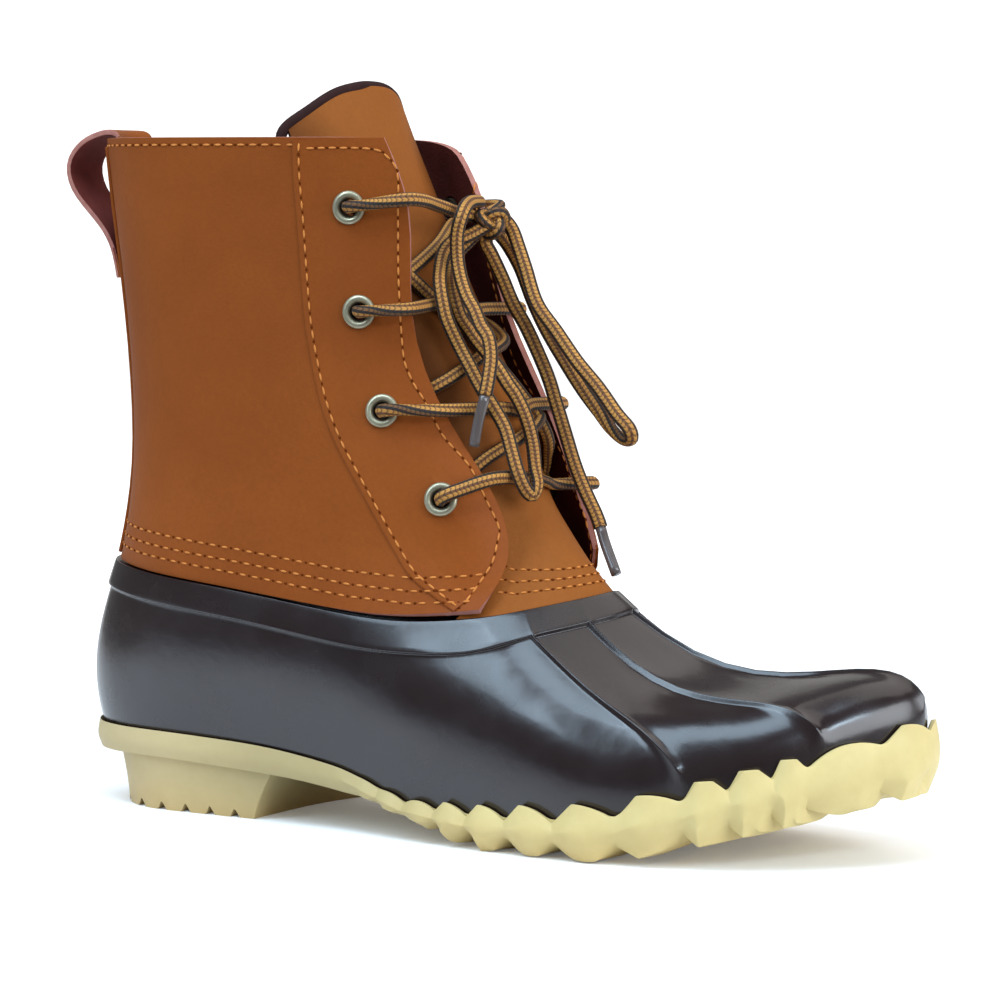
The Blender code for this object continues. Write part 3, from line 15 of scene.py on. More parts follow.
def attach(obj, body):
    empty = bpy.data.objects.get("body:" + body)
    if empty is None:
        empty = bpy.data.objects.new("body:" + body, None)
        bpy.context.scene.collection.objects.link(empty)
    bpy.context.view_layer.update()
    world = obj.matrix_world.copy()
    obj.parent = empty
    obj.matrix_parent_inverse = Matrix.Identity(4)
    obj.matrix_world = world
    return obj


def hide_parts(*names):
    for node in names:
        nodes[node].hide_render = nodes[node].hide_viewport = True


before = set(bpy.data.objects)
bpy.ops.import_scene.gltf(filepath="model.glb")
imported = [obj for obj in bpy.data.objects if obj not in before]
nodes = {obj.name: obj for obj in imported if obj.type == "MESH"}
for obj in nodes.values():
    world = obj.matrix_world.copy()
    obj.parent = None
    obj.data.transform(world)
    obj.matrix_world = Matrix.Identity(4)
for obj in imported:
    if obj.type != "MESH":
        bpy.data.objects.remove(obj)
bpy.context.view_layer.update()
MM = 0.001


# %% [markdown]
# The camera stands low and far away, to the outer side of the toe, and looks a little down. A wide lens from
# close by would swell the toe, so a long lens is used, which keeps the boot's own proportions. It is turned a
# hair about its own line of sight, as a hand-held camera is.

# %% Camera
LENS = 136.93
CAMERA_PLACE = (0.66791, -1.01373, 0.19237)
azimuth, down, roll = math.radians(29.211), math.radians(4.505), math.radians(0.4066)

camera_data = bpy.data.cameras.new("camera")
camera_data.lens = LENS
camera = bpy.data.objects.new("camera", camera_data)
bpy.context.scene.collection.objects.link(camera)
bpy.context.scene.camera = camera
backwards = Vector((math.sin(azimuth) * math.cos(down), -math.cos(azimuth) * math.cos(down), math.sin(down)))
camera.location = CAMERA_PLACE
camera.rotation_mode = "QUATERNION"
facing = (-backwards).to_track_quat("-Z", "Y")
camera.rotation_quaternion = facing @ Matrix.Rotation(roll, 3, "Z").to_quaternion()
bpy.context.scene.view_settings.view_transform = "Standard"
print("camera at", CAMERA_PLACE, "with a lens of", LENS, "mm")

# %% [markdown]
# Whatever is made here ends as one mesh whose object sits at the origin, and rides on the boot's only body.
# Doing that by hand for seventy pieces invites mistakes, so one helper does the bookkeeping. Two more make a
# mesh straight from points and turn the faces of a closed shell outwards.

# %% Helpers for finished pieces
def alone(piece):
    """Selects one object and nothing else."""
    if bpy.context.object and bpy.context.object.mode != "OBJECT":
        bpy.ops.object.mode_set(mode="OBJECT")
    bpy.ops.object.select_all(action="DESELECT")
    piece.select_set(True)
    bpy.context.view_layer.objects.active = piece


def settle(piece, finish=None, replaces=(), smooth=None):
    """Applies place and modifiers, gives the finish and lets the piece ride on the boot."""
    alone(piece)
    bpy.ops.object.transform_apply(location=True, rotation=True, scale=True)
    for modifier in list(piece.modifiers):
        bpy.ops.object.modifier_apply(modifier=modifier.name)
    if smooth is not None:
        bpy.ops.object.shade_smooth_by_angle(angle=math.radians(smooth))
    if finish is not None:
        piece.data.materials.clear()
        piece.data.materials.append(finish)
    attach(piece, "root")
    if replaces:
        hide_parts(*replaces)
    return piece


def mesh_piece(name, points, faces):
    """A new object from points and faces."""
    mesh = bpy.data.meshes.new(name)
    mesh.from_pydata([tuple(point) for point in points], [], [tuple(face) for face in faces])
    piece = bpy.data.objects.new(name, mesh)
    bpy.context.scene.collection.objects.link(piece)
    return piece


def face_outwards(piece):
    """Recalculates the normals of a closed shell."""
    alone(piece)
    bpy.ops.object.mode_set(mode="EDIT")
    bpy.ops.mesh.select_all(action="SELECT")
    bpy.ops.mesh.normals_make_consistent(inside=False)
    bpy.ops.object.mode_set(mode="OBJECT")


# %% [markdown]
# Nodes that are wired one by one hide what a finish does. Shader maths reads best as ordinary arithmetic, so
# a small class wraps a socket, and a sum or product of two wires adds the Math node for it. Every other node
# comes from one method, which takes its type, its settings and the values or links of its sockets.

# %% Shader maths
class Wire:
    """Output of a shader node that can be used in arithmetic."""

    def __init__(self, home, socket):
        self.home = home
        self.socket = socket

    def math(self, operation, *others):
        return self.home.node("ShaderNodeMath", {"operation": operation}, dict(enumerate((self, *others))))

    def __add__(self, other):
        return self.math("ADD", other)

    def __sub__(self, other):
        return self.math("SUBTRACT", other)

    def __rsub__(self, other):
        return self.home.node("ShaderNodeMath", {"operation": "SUBTRACT"}, {0: other, 1: self})

    def __mul__(self, other):
        return self.math("MULTIPLY", other)

    __radd__ = __add__
    __rmul__ = __mul__


class NodeTree:
    """The nodes of a material or of the world."""

    def __init__(self, tree):
        self.tree = tree

    def node(self, kind, settings=None, inputs=None, output=0):
        """Adds a node: its settings are set first, then its sockets get a value or a link."""
        made = self.tree.nodes.new(kind)
        for name, value in (settings or {}).items():
            setattr(made, name, value)
        for name, value in (inputs or {}).items():
            if isinstance(value, Wire):
                self.tree.links.new(value.socket, made.inputs[name])
            else:
                made.inputs[name].default_value = value
        return Wire(self, made.outputs[output])


print("operators of a wire:", [name for name in vars(Wire) if name.startswith("__") and name != "__init__"])

# %% [markdown]
# A finish starts from the shader that suits nearly all materials, the Principled one. What is the same all
# over a surface is set on its own sockets. What changes over it, such as colour, roughness and small relief,
# is built from noise and cells at the size that the real grain has, and fed in.

# %% Finishes
class Finish(NodeTree):
    """A material in the making."""

    def __init__(self, name, colour, roughness, **sockets):
        self.material = bpy.data.materials.new(name)
        self.material.use_nodes = True
        self.material.diffuse_color = (*colour, 1)
        super().__init__(self.material.node_tree)
        self.surface = self.tree.nodes["Principled BSDF"]
        self.surface.inputs["Base Color"].default_value = (*colour, 1)
        self.surface.inputs["Roughness"].default_value = roughness
        for socket, value in sockets.items():
            self.surface.inputs[socket.replace("_", " ")].default_value = value

    def feed(self, name, value):
        self.tree.links.new(value.socket, self.surface.inputs[name])

    def part(self, vector, axis):
        """One coordinate, X, Y or Z, of a vector."""
        return self.node("ShaderNodeSeparateXYZ", inputs={0: vector}, output=axis)

    def place(self):
        """Place on the piece, in metres."""
        return self.node("ShaderNodeTexCoord", output="Object")

    def noise(self, size, detail=3.0, roughness=0.5, stretch=None):
        """Noise with features of about a size in metres."""
        where = self.place()
        if stretch:
            where = self.node("ShaderNodeMapping", inputs={"Vector": where, "Scale": stretch})
        return self.node("ShaderNodeTexNoise", inputs={
            "Vector": where, "Scale": 0.5 / size, "Detail": detail, "Roughness": roughness})

    def cells(self, size):
        """Small cells, as in the grain of leather or the squares of a weave."""
        return self.node("ShaderNodeTexVoronoi", inputs={"Vector": self.place(), "Scale": 1 / size})

    def fade(self, value, low, high, start=0.0, end=1.0):
        """Goes from start to end while the value goes from low to high."""
        return self.node("ShaderNodeMapRange", inputs={0: value, 1: low, 2: high, 3: start, 4: end})

    def mixed(self, mask, first, second):
        """First colour where the mask is 0, second where it is 1."""
        first, second = (c if isinstance(c, Wire) else (*c, 1) for c in (first, second))
        return self.node("ShaderNodeMix", {"data_type": "RGBA"}, {0: mask, 6: first, 7: second}, 2)

    def bump(self, height, depth, strength=1.0, under=None):
        """Relief of a depth in metres, over another relief."""
        inputs = {"Height": height, "Distance": depth, "Strength": strength}
        if under:
            inputs["Normal"] = under
        return self.node("ShaderNodeBump", inputs=inputs)


def srgb(red, green, blue):
    """Linear colour from the 0 to 255 values that one reads off a swatch."""
    return tuple((v / 255) ** 2.2 for v in (red, green, blue))


print("middle grey in linear light:", tuple(round(c, 3) for c in srgb(128, 128, 128)))

# %% [markdown]
# A braided lace is a woven tube: a dozen strands that cross in a zigzag, some of them coloured, so that
# stripes run along it. A pattern in space would slide over the lace's turns. A map of its own, with the
# length in one direction and the girth in the other, lets stripes and braid follow every turn.

# %% Lace finish
def lace_finish():
    """Gold braid with black stripes and a brown line; its map is in lace widths along and turns around."""
    made = Finish("braided_lace", srgb(190, 130, 45), 0.7)
    lace_map = made.node("ShaderNodeUVMap", {"uv_map": "lace"})
    along = made.part(lace_map, "X")
    around = made.part(lace_map, "Y")
    # 0 in the middle of each flat side, 1 on the narrow edges
    across = ((around * 2.0).math("FRACT") - 0.5).math("ABSOLUTE") * 2.0
    # strands that lean against each other
    lean = (around * 12.0).math("PINGPONG", 1.0)
    strand = ((along * 3.2 + lean * 0.5).math("FRACT") - 0.5).math("ABSOLUTE") * 2.0
    gold = made.mixed(made.noise(0.005), srgb(200, 142, 64), srgb(156, 102, 44))
    black = made.mixed(made.noise(0.003), srgb(50, 34, 26), srgb(24, 17, 15))
    rim = made.mixed(made.noise(0.004), srgb(126, 84, 40), srgb(88, 54, 28))
    stripe = made.fade(across, 0.45, 0.52) * (1 - made.fade(across, 0.82, 0.88))
    brown_line = 0.85 * (1 - made.fade(across, 0.1, 0.17))
    # painted shade in the gaps between the braid's strands, where the relief is lowest
    between = 0.7 * (1 - made.fade(strand, 0.12, 0.34))
    colour = made.mixed(made.fade(across, 0.8, 0.88), gold, rim)
    colour = made.mixed(stripe, colour, black)
    colour = made.mixed(brown_line, colour, srgb(78, 40, 20))
    # the gaps' painted shade
    made.feed("Base Color", made.mixed(between, colour, srgb(36, 22, 14)))
    made.feed("Normal", made.bump(strand.math("SQRT"), 0.0003, 0.8))
    return made.material


LACE = lace_finish()
print("lace finish with", len(LACE.node_tree.nodes), "nodes")

# %% [markdown]
# A soft line is easiest to steer by a few given points. The curve below passes through all of them
# without corners, and its points are then spread evenly, so that a tube swept along it has even rings.

# %% Smooth lines
def distances(line):
    """Distance along a line of points, at each of them."""
    return np.concatenate([[0], np.cumsum(np.linalg.norm(np.diff(line, axis=0), axis=1))])


def smooth_line(points, step):
    """Evenly spaced points of a smooth curve through given ones."""
    points = np.array(points, float)
    ends = np.vstack([2 * points[0] - points[1], points, 2 * points[-1] - points[-2]])
    line = []
    for before, start, end, after in zip(ends, ends[1:], ends[2:], ends[3:]):
        slope = end - before
        bend = 2 * before - 5 * start + 4 * end - after
        twist = 3 * start - before - 3 * end + after
        for t in np.linspace(0, 1, 12, endpoint=False):
            line.append(0.5 * (2 * start + slope * t + bend * t ** 2 + twist * t ** 3))
    line = np.array(line + [points[-1]])
    along = distances(line)
    even = np.linspace(0, along[-1], max(2, round(along[-1] / step)) + 1)
    return np.stack([np.interp(even, along, line[:, k]) for k in range(line.shape[1])], axis=1)


print("points on a line through three:", len(smooth_line(((0, 0), (1, 1), (2, 0)), 0.1)))

# %% [markdown]
# The lace is drawn as a tube, a little wider than deep, swept along such a line. A curve object with a bevel
# would be quicker, but its flat side flips where the line turns. Here one direction is carried along the line
# and pulled softly towards the way the flat side should face. A line may be squeezed thinner near its ends,
# where it passes an eyelet.

# %% Lace tube
LACE_WIDTH, LACE_DEPTH = 4.4 * MM, 3.5 * MM
LACE_SIDES = 12
FLAT_SIDE = (0.45, -0.85, 0.25)
PULL = 0.15
SQUEEZED_TO = 0.62


def shell_faces(rings, sides):
    """Quads between rings of points, and a face over each end."""
    quads = []
    for start in range(0, (rings - 1) * sides, sides):
        for s in range(sides):
            follower = (s + 1) % sides
            quads.append((start + s, start + follower, start + sides + follower, start + sides + s))
    return quads + [tuple(range(sides))[::-1], tuple(range((rings - 1) * sides, rings * sides))]


def map_lace(tube, rings, length):
    """Gives a tube its map: lace widths along, turns around."""
    layer = tube.data.uv_layers.new(name="lace")
    widths = np.arange(rings) * length / (rings - 1) / LACE_WIDTH
    for face in tube.data.polygons[:(rings - 1) * LACE_SIDES]:
        row, place = divmod(face.index, LACE_SIDES)
        corners = ((row, place), (row, place + 1), (row + 1, place + 1), (row + 1, place))
        for loop, (r, s) in zip(face.loop_indices, corners):
            layer.data[loop].uv = (widths[r], s / LACE_SIDES)


def lace_tube(name, points, finish, width=LACE_WIDTH, depth=LACE_DEPTH, step=1.1 * MM, flat=FLAT_SIDE,
              squeezed=0.0):
    """Tube along given points in millimetres; returns it with its line."""
    line = smooth_line(np.array(points) * MM, step)
    length = distances(line)[-1]
    ways = np.gradient(line, axis=0)
    ways /= np.linalg.norm(ways, axis=1)[:, None]
    angles = 2 * np.pi * np.arange(LACE_SIDES) / LACE_SIDES
    thin = np.array(flat, float)
    rings = []
    for number, (point, way) in enumerate(zip(line, ways)):
        wanted = np.array(flat) - way * (way @ flat)
        thin = thin - way * (thin @ way) + PULL * wanted
        thin /= np.linalg.norm(thin)
        broad = np.cross(way, thin)
        from_end = min(number, len(line) - 1 - number) * length / (len(line) - 1)
        size = SQUEEZED_TO + (1 - SQUEEZED_TO) * min(1.0, from_end / squeezed) ** 2 if squeezed else 1.0
        rings.append(point + size * (np.cos(angles)[:, None] * broad * width / 2
                                     + np.sin(angles)[:, None] * thin * depth / 2))
    tube = mesh_piece(name, np.concatenate(rings), shell_faces(len(rings), LACE_SIDES))
    map_lace(tube, len(rings), length)
    tube.data.shade_smooth()
    face_outwards(tube)
    return settle(tube, finish), line


print("lace", round(LACE_WIDTH / MM, 1), "x", round(LACE_DEPTH / MM, 1), "mm, with", LACE_SIDES, "sides")

# %% [markdown]
# The lace takes the same way as in the solids, so its points are repeated here, in millimetres. The laced
# part comes in runs from eyelet to eyelet: bars that show outside, and inner runs that climb behind the
# facings to the next pair. The two top runs leave the highest eyelets and meet in the knot.

# %% Routes of the laced part
RUNS = {
    "lace_bar_2": ((68.2, -28.4, 158.3), (69.4, -31.9, 158.5), (72.5, -34.4, 158.7), (77.1, -32.8, 159.1),
                   (85.4, -29.0, 159.6), (85.2, -7.5, 160.9), (88.8, 1.4, 158.5), (89.0, 10.4, 158.9),
                   (91.7, 29.3, 158.8), (80.1, 35.3, 158.9), (75.5, 37.0, 158.9), (72.4, 34.4, 158.5),
                   (71.4, 30.9, 158.1)),
    "lace_bar_3": ((76.4, -28.5, 128.0), (77.7, -31.9, 128.6), (80.9, -34.2, 129.3), (85.3, -32.4, 129.4),
                   (96.5, -26.2, 129.4), (104.2, -7.2, 129.4), (106.8, 1.4, 128.5), (105.9, 10.2, 129.8),
                   (106.1, 30.9, 129.5), (92.9, 36.2, 129.1), (88.2, 37.4, 128.9), (85.3, 34.7, 128.5),
                   (84.4, 31.1, 128.2)),
    "lace_bar_4": ((97.1, -28.4, 102.2), (98.3, -31.8, 102.9), (101.3, -34.1, 104.4), (105.0, -31.7, 106.1),
                   (112.2, -23.9, 109.3), (113.0, -7.0, 108.6), (115.5, 1.5, 107.2), (114.7, 10.2, 105.7),
                   (119.8, 25.8, 105.4), (109.9, 33.3, 103.8), (105.5, 35.1, 103.1), (102.4, 32.6, 102.7),
                   (101.3, 29.1, 102.5)),
    "lace_inner_1": ((65.2, 29.3, 189.7), (66.5, 26.4, 188.8), (74.2, 23.3, 186.2), (75.0, 15.1, 184.8),
                     (78.2, -0.5, 177.9), (76.4, -16.2, 169.7), (74.6, -23.4, 166.3), (69.0, -25.6, 159.8),
                     (68.2, -28.4, 158.3)),
    "lace_inner_2": ((71.4, 30.9, 158.1), (72.9, 28.1, 157.2), (80.7, 25.5, 154.3), (93.4, 15.3, 148.8),
                     (95.7, -0.5, 145.4), (92.3, -16.2, 138.4), (83.8, -21.3, 133.0), (77.5, -25.4, 128.7),
                     (76.4, -28.5, 128.0)),
    "lace_inner_3": ((84.4, 31.1, 128.2), (86.2, 28.3, 127.9), (94.5, 26.0, 127.0), (106.4, 15.2, 125.4),
                     (109.9, -0.4, 121.3), (104.5, -15.4, 114.2), (100.8, -20.7, 108.9), (97.6, -25.4, 103.4),
                     (97.1, -28.4, 102.2)),
    "lace_inner_long": ((101.3, 29.1, 102.5), (101.5, 26.4, 104.5), (104.1, 24.3, 112.5),
                        (106.9, 15.2, 123.8), (94.2, -0.5, 147.8), (75.6, -16.2, 171.2), (70.2, -24.5, 181.0),
                        (65.3, -25.6, 188.2), (64.6, -28.4, 190.0)),
    "lace_top_far": ((65.2, 29.3, 189.7), (66.4, 32.8, 190.0), (69.6, 35.2, 190.3), (74.1, 33.4, 190.4),
                     (84.7, 27.7, 190.5), (86.0, 17.6, 188.4)),
    "lace_top_near": ((64.6, -28.4, 190.0), (65.6, -31.9, 189.9), (68.6, -34.6, 190.2), (73.4, -33.4, 190.8),
                      (84.6, -30.5, 192.4), (86.7, -23.6, 192.2), (86.1, -16.0, 191.2), (86.7, -9.1, 189.9),
                      (86.2, -2.7, 188.8), (88.0, 4.6, 187.5), (91.0, 9.0, 186.5)),
}
print("runs:", len(RUNS), "points:", sum(len(points) for points in RUNS.values()))

# %% [markdown]
# The bow has two loops, whose both ends go back into the knot, and two ends that hang free. Each falls over
# the tongue and the bars as a limp lace does, without passing through them.

# %% Routes of the bow
NEAR_LOOP = ((92.5, 5.5, 184.5), (89.5, 2.5, 182.1), (86.9, -0.5, 180.4), (84.9, -3.5, 178.9),
             (84.4, -7.0, 175.6), (86.4, -12.0, 170.9), (88.9, -16.5, 166.9), (90.6, -17.5, 161.4),
             (92.0, -17.0, 155.9), (94.9, -14.5, 147.9), (98.6, -14.5, 142.0), (102.0, -14.5, 136.5),
             (108.0, -16.5, 130.0), (111.9, -16.5, 124.1), (114.5, -17.0, 117.5), (117.0, -17.5, 111.0),
             (118.5, -15.5, 105.9), (119.6, -13.0, 104.0), (119.9, -11.0, 107.0), (117.9, -8.5, 111.4),
             (115.1, -5.0, 119.0), (112.5, -4.5, 126.6), (109.4, -5.0, 132.9), (107.1, -6.0, 136.5),
             (104.5, -6.5, 140.5), (101.4, -7.5, 145.0), (97.4, -9.0, 150.0), (94.9, -9.5, 153.4),
             (92.9, -10.5, 156.6), (91.5, -11.0, 160.6), (88.9, -8.5, 165.0), (84.9, -2.0, 169.0),
             (84.1, 1.0, 173.4), (84.6, 3.0, 177.0), (86.5, 4.5, 179.5), (90.0, 6.5, 183.5))
FAR_LOOP = ((94.8, 12.0, 187.0), (97.4, 13.0, 183.5), (100.6, 11.5, 178.1), (104.0, 10.0, 171.5),
            (109.1, 8.0, 161.0), (116.5, 7.0, 152.6), (124.4, 6.0, 143.5), (132.1, 5.0, 136.1),
            (138.9, 4.0, 128.5), (143.5, 3.5, 124.1), (143.5, 5.0, 120.9), (139.9, 7.0, 120.4),
            (135.1, 8.6, 123.2), (130.1, 10.0, 128.1), (123.6, 11.0, 135.0), (117.0, 12.0, 143.1),
            (109.9, 13.0, 152.6), (104.5, 14.0, 161.4), (98.6, 16.5, 171.5), (93.5, 17.5, 178.5),
            (91.6, 13.5, 183.0))
NEAR_END = ((88.6, 8.5, 192.0), (90.1, -1.0, 191.6), (92.6, -9.5, 188.4), (91.5, -10.5, 182.5),
            (91.5, -10.5, 175.6), (93.5, -12.0, 169.4), (96.9, -14.0, 163.5), (100.6, -15.5, 159.1),
            (103.4, -16.5, 154.5), (106.5, -17.5, 151.1), (108.0, -18.5, 145.6), (108.5, -20.5, 140.1),
            (108.0, -21.5, 135.0), (106.0, -22.0, 127.0), (104.5, -22.5, 118.6))
FAR_END = ((91.5, 8.0, 183.0), (90.8, 8.0, 179.5), (92.0, 9.5, 176.0), (94.9, 11.5, 168.6),
           (98.0, 13.0, 160.6), (102.6, 14.0, 152.6), (109.1, 14.5, 139.5), (112.5, 14.5, 130.4),
           (115.9, 14.5, 120.9), (119.9, 13.5, 111.4), (124.4, 12.0, 103.6), (129.5, 10.5, 95.6),
           (132.9, 9.0, 88.4), (138.1, 6.5, 79.5))
KNOT = ((86.1, 12.5, 188.4), (88.9, 12.0, 190.5), (92.6, 11.5, 189.9), (96.0, 10.5, 188.0),
        (98.0, 9.0, 185.0), (97.4, 7.0, 182.1), (94.9, 5.5, 180.4), (92.6, 4.5, 181.0),
        (91.5, 4.0, 183.6), (92.9, 4.0, 186.5), (95.5, 4.5, 187.6))
for name, points in (("loops", NEAR_LOOP + FAR_LOOP), ("ends", NEAR_END + FAR_END)):
    print(name, "reach down to", min(z for _, _, z in points), "mm")

# %% [markdown]
# A lace's tip is clear plastic shrunk on the braid, thinner and glossier than the lace. It is the last
# stretch of the same route with another finish, and the braid stops a millimetre inside it.

# %% Lace tips
TIP_LENGTH, TIP_OVERLAP = 17, 1
TIP_WIDTH, TIP_DEPTH = 3.3 * MM, 3.1 * MM


def tip_finish():
    """Smoked clear plastic over a braid."""
    made = Finish("lace_tip_plastic", srgb(86, 76, 72), 0.22, Coat_Weight=0.4)
    streak = made.noise(0.002, stretch=(1, 1, 0.15))
    made.feed("Base Color", made.mixed(streak, srgb(58, 46, 42), srgb(112, 104, 102)))
    return made.material


def tip_of(name, points, finish):
    """Plastic tip over the last stretch of a lace's end, on points a millimetre apart."""
    last = smooth_line(points, 1.0)[-TIP_LENGTH:]
    return lace_tube(name, last, finish, width=TIP_WIDTH, depth=TIP_DEPTH, step=2 * MM)[0]


LACE_TIP = tip_finish()
near_tip = tip_of("lace_tip_near", NEAR_END, LACE_TIP)
far_tip = tip_of("lace_tip_far", FAR_END, LACE_TIP)
near_braid = smooth_line(NEAR_END, 1.0)[:TIP_OVERLAP - TIP_LENGTH]
far_braid = smooth_line(FAR_END, 1.0)[:TIP_OVERLAP - TIP_LENGTH]
print("braid of the free ends:", len(near_braid) - 1, "and", len(far_braid) - 1, "mm")

# %% [markdown]
# Loops and ends are free cords: a loop goes back into the boot's knot, an end has nothing but its tip. Each
# is a lace tube that takes the place of its solid.

# %% Bow
def cord_piece(name, points, replaces):
    """One part of the bow, a lace tube that replaces its solid."""
    tube, line = lace_tube(name, points, LACE)
    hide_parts(*replaces)


cord_piece("lace_loop_near_braid", NEAR_LOOP, ["lace_loop_near"])
cord_piece("lace_loop_far_braid", FAR_LOOP, ["lace_loop_far"])
cord_piece("lace_end_near_braid", near_braid, ["lace_end_near"])
cord_piece("lace_end_far_braid", far_braid, ["lace_end_far"])

# %% [markdown]
# The knot is pulled tight, and its strands can hardly be followed by eye. A closed line that crosses itself
# three times, over and under by turns, has the right look at this size and needs one formula only. It is
# turned to face forwards and set on the middle of the solid knot.

# %% Knot
KNOT_SIZE = (1.4, 1.22, 1.25)
KNOT_FACES = (0.62, -0.74, 0.25)

turn = np.linspace(0, 2 * math.pi, 48)
wound = np.stack([np.sin(turn) + 2 * np.sin(2 * turn), np.cos(turn) - 2 * np.cos(2 * turn),
                  -1.6 * np.sin(3 * turn)], axis=1)
lie = np.array(Vector(KNOT_FACES).to_track_quat("Z", "Y").to_matrix())
wound = wound * np.array(KNOT_SIZE) @ lie.T + np.mean(KNOT, axis=0)
knot, knot_line = lace_tube("lace_knot_braid", wound, LACE, step=0.8 * MM)
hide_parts("lace_knot")
print("lace in the knot:", round(distances(knot_line)[-1] / MM), "mm")

# %% [markdown]
# In the laced part the lace is squeezed where it turns round the eyelets and under the facings, so the inner
# runs get thinner towards their ends. The bars keep their full width.

# %% Laced part
SQUEEZE = 16 * MM
laced = [lace_tube(name, points, LACE, squeezed=SQUEEZE if "inner" in name else 0.0)
         for name, points in RUNS.items()]
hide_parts("lace_crossings")
print("lace in the runs:", round(sum(distances(line)[-1] for _, line in laced) / MM), "mm")

# %% [markdown]
# The boot stands on a plain pale floor that runs into a pale world. Glossy rubber mirrors both, and in full
# brightness they would turn it grey. In a studio, black cards keep the rubber dark. Here the floor is darker
# in front of the boot for all rays but the camera's, and the world is bright for the camera alone.

# %% Floor
FLOOR_PALE, FLOOR_DARK = (0.93, 0.93, 0.94), (0.08, 0.08, 0.08)
DARK_UP_TO, PALE_FROM = -0.26, -0.12
GLOW_FROM, GLOW_FULL = 0.2, 0.8

bpy.ops.object.select_all(action="DESELECT")
bpy.ops.mesh.primitive_plane_add(size=6)
floor = bpy.context.object
floor.name = "floor"
pale_floor = Finish("pale_floor", FLOOR_PALE, 0.7, Specular_IOR_Level=0.0, Emission_Strength=0.6)
seen = pale_floor.node("ShaderNodeLightPath", output="Is Camera Ray")
spot = pale_floor.place()
# distance behind the origin along the camera's line of sight
depth_in = (pale_floor.part(spot, "Y") * round(math.cos(azimuth), 3)
            - pale_floor.part(spot, "X") * round(math.sin(azimuth), 3))
lit = pale_floor.fade(depth_in, DARK_UP_TO, PALE_FROM).math("MAXIMUM", seen)
pale_floor.feed("Base Color", pale_floor.mixed(lit, FLOOR_DARK, FLOOR_PALE))
far_glow = pale_floor.fade(depth_in, GLOW_FROM, GLOW_FULL, 0.15, 1.0) * seen
pale_floor.feed("Emission Color", pale_floor.mixed(far_glow, (0.0, 0.0, 0.0), (1.0, 1.0, 1.0)))
floor.data.materials.append(pale_floor.material)
print("floor nodes:", len(pale_floor.tree.nodes))

# %% [markdown]
# One brightness can't serve the whole world: what suits the background would wash out the rubber. The kinds
# of ray are told apart instead, so the same world has one strength where the camera sees it, one where a
# glossy skin mirrors it, and one for the light that it casts.

# %% World
WORLD_SEEN, WORLD_LIGHT, WORLD_MIRRORED = 1.3, 0.52, 0.17

world = bpy.data.worlds.new("pale_world")
bpy.context.scene.world = world
world.use_nodes = True
air = NodeTree(world.node_tree)
mirrored = air.node("ShaderNodeLightPath", output="Is Glossy Ray")
seen = air.node("ShaderNodeLightPath", output="Is Camera Ray")
as_light = mirrored * (WORLD_MIRRORED - WORLD_LIGHT) + WORLD_LIGHT
strength = as_light + seen * (WORLD_SEEN - as_light)
sky = air.tree.nodes["Background"]
sky.inputs["Color"].default_value = (1, 1, 1, 1)
air.tree.links.new(strength.socket, sky.inputs["Strength"])
print("world nodes:", len(air.tree.nodes))

# %% [markdown]
# Soft light comes from large lamps, as in a light tent. A single one would leave flat rubber. Each lamp here
# makes one of the long highlights: along the raised band, over the vamp and its ribs, on the toe and on the
# far side. Their places follow from where the rubber mirrors, and the camera doesn't see them.

# %% Lamps
COOL = (0.62, 0.82, 1.0)
LAMPS = (
    # name, place, aim, size, watts, colour
    ("top_box", (0.0, -0.35, 0.9), (0.06, 0, 0.05), (0.9, 0.42), 6.7, COOL),
    ("window", (-0.34, -0.94, 0.86), (0.06, 0, 0.06), (0.35, 0.9), 7.4, COOL),
    ("toe_box", (1.38, -0.23, 0.4), (0.2, 0, 0.06), (1.1, 0.75), 13, (0.88, 0.94, 1.0)),
    ("toe_strip", (1.02, -0.66, 0.66), (0.2, -0.02, 0.06), (0.5, 0.14), 3, COOL),
    ("roof_box", (0.5, 0.48, 1.42), (0.1, 0, 0.06), (1.4, 1.0), 5, (1.0, 0.97, 0.92)),
    ("back_box", (-0.35, 1.5, 0.75), (0.1, 0, 0.08), (2.4, 1.0), 4, (1.0, 0.98, 0.95)),
)
for name, place, aim, size, watts, colour in LAMPS:
    data = bpy.data.lights.new(name, "AREA")
    data.shape = "RECTANGLE"
    data.size, data.size_y = size
    data.energy = watts
    data.color = colour
    lamp = bpy.data.objects.new(name, data)
    bpy.context.scene.collection.objects.link(lamp)
    lamp.location = place
    lamp.rotation_mode = "QUATERNION"
    lamp.rotation_quaternion = (Vector(aim) - Vector(place)).to_track_quat("-Z", "Y")
    lamp.visible_camera = False
print("lamps:", len(LAMPS), "with", sum(row[4] for row in LAMPS), "W in all")

# %% [markdown]
# The packed solids have the right shape but are made of loose triangles, which show as facets. Modelling
# them anew could change their size. A copy is better: its points are merged, flat pairs of triangles become
# quads, sharp edges get the small bevel that real ones have, and subdivision rounds what is left.

# %% Smooth copies of solids
MERGE = 0.02 * MM


def smooth_copy(node, name, bevel, levels=1, sharp=40.0):
    """Merged, bevelled and subdivided copy of one of the solids."""
    copy = nodes[node].copy()
    copy.data = nodes[node].data.copy()
    copy.parent = None
    copy.name = copy.data.name = name
    for key in list(copy.keys()):
        del copy[key]
    bpy.context.scene.collection.objects.link(copy)
    alone(copy)
    bpy.ops.object.mode_set(mode="EDIT")
    bpy.ops.mesh.select_all(action="SELECT")
    bpy.ops.mesh.remove_doubles(threshold=MERGE)
    bpy.ops.mesh.tris_convert_to_quads(face_threshold=math.radians(25), shape_threshold=math.radians(60))
    bpy.ops.object.mode_set(mode="OBJECT")
    edge = copy.modifiers.new("edge", "BEVEL")
    edge.width = bevel
    edge.segments = 2
    edge.limit_method = "ANGLE"
    edge.angle_limit = math.radians(sharp)
    edge.use_clamp_overlap = True
    rounding = copy.modifiers.new("rounding", "SUBSURF")
    rounding.levels = rounding.render_levels = levels
    return copy


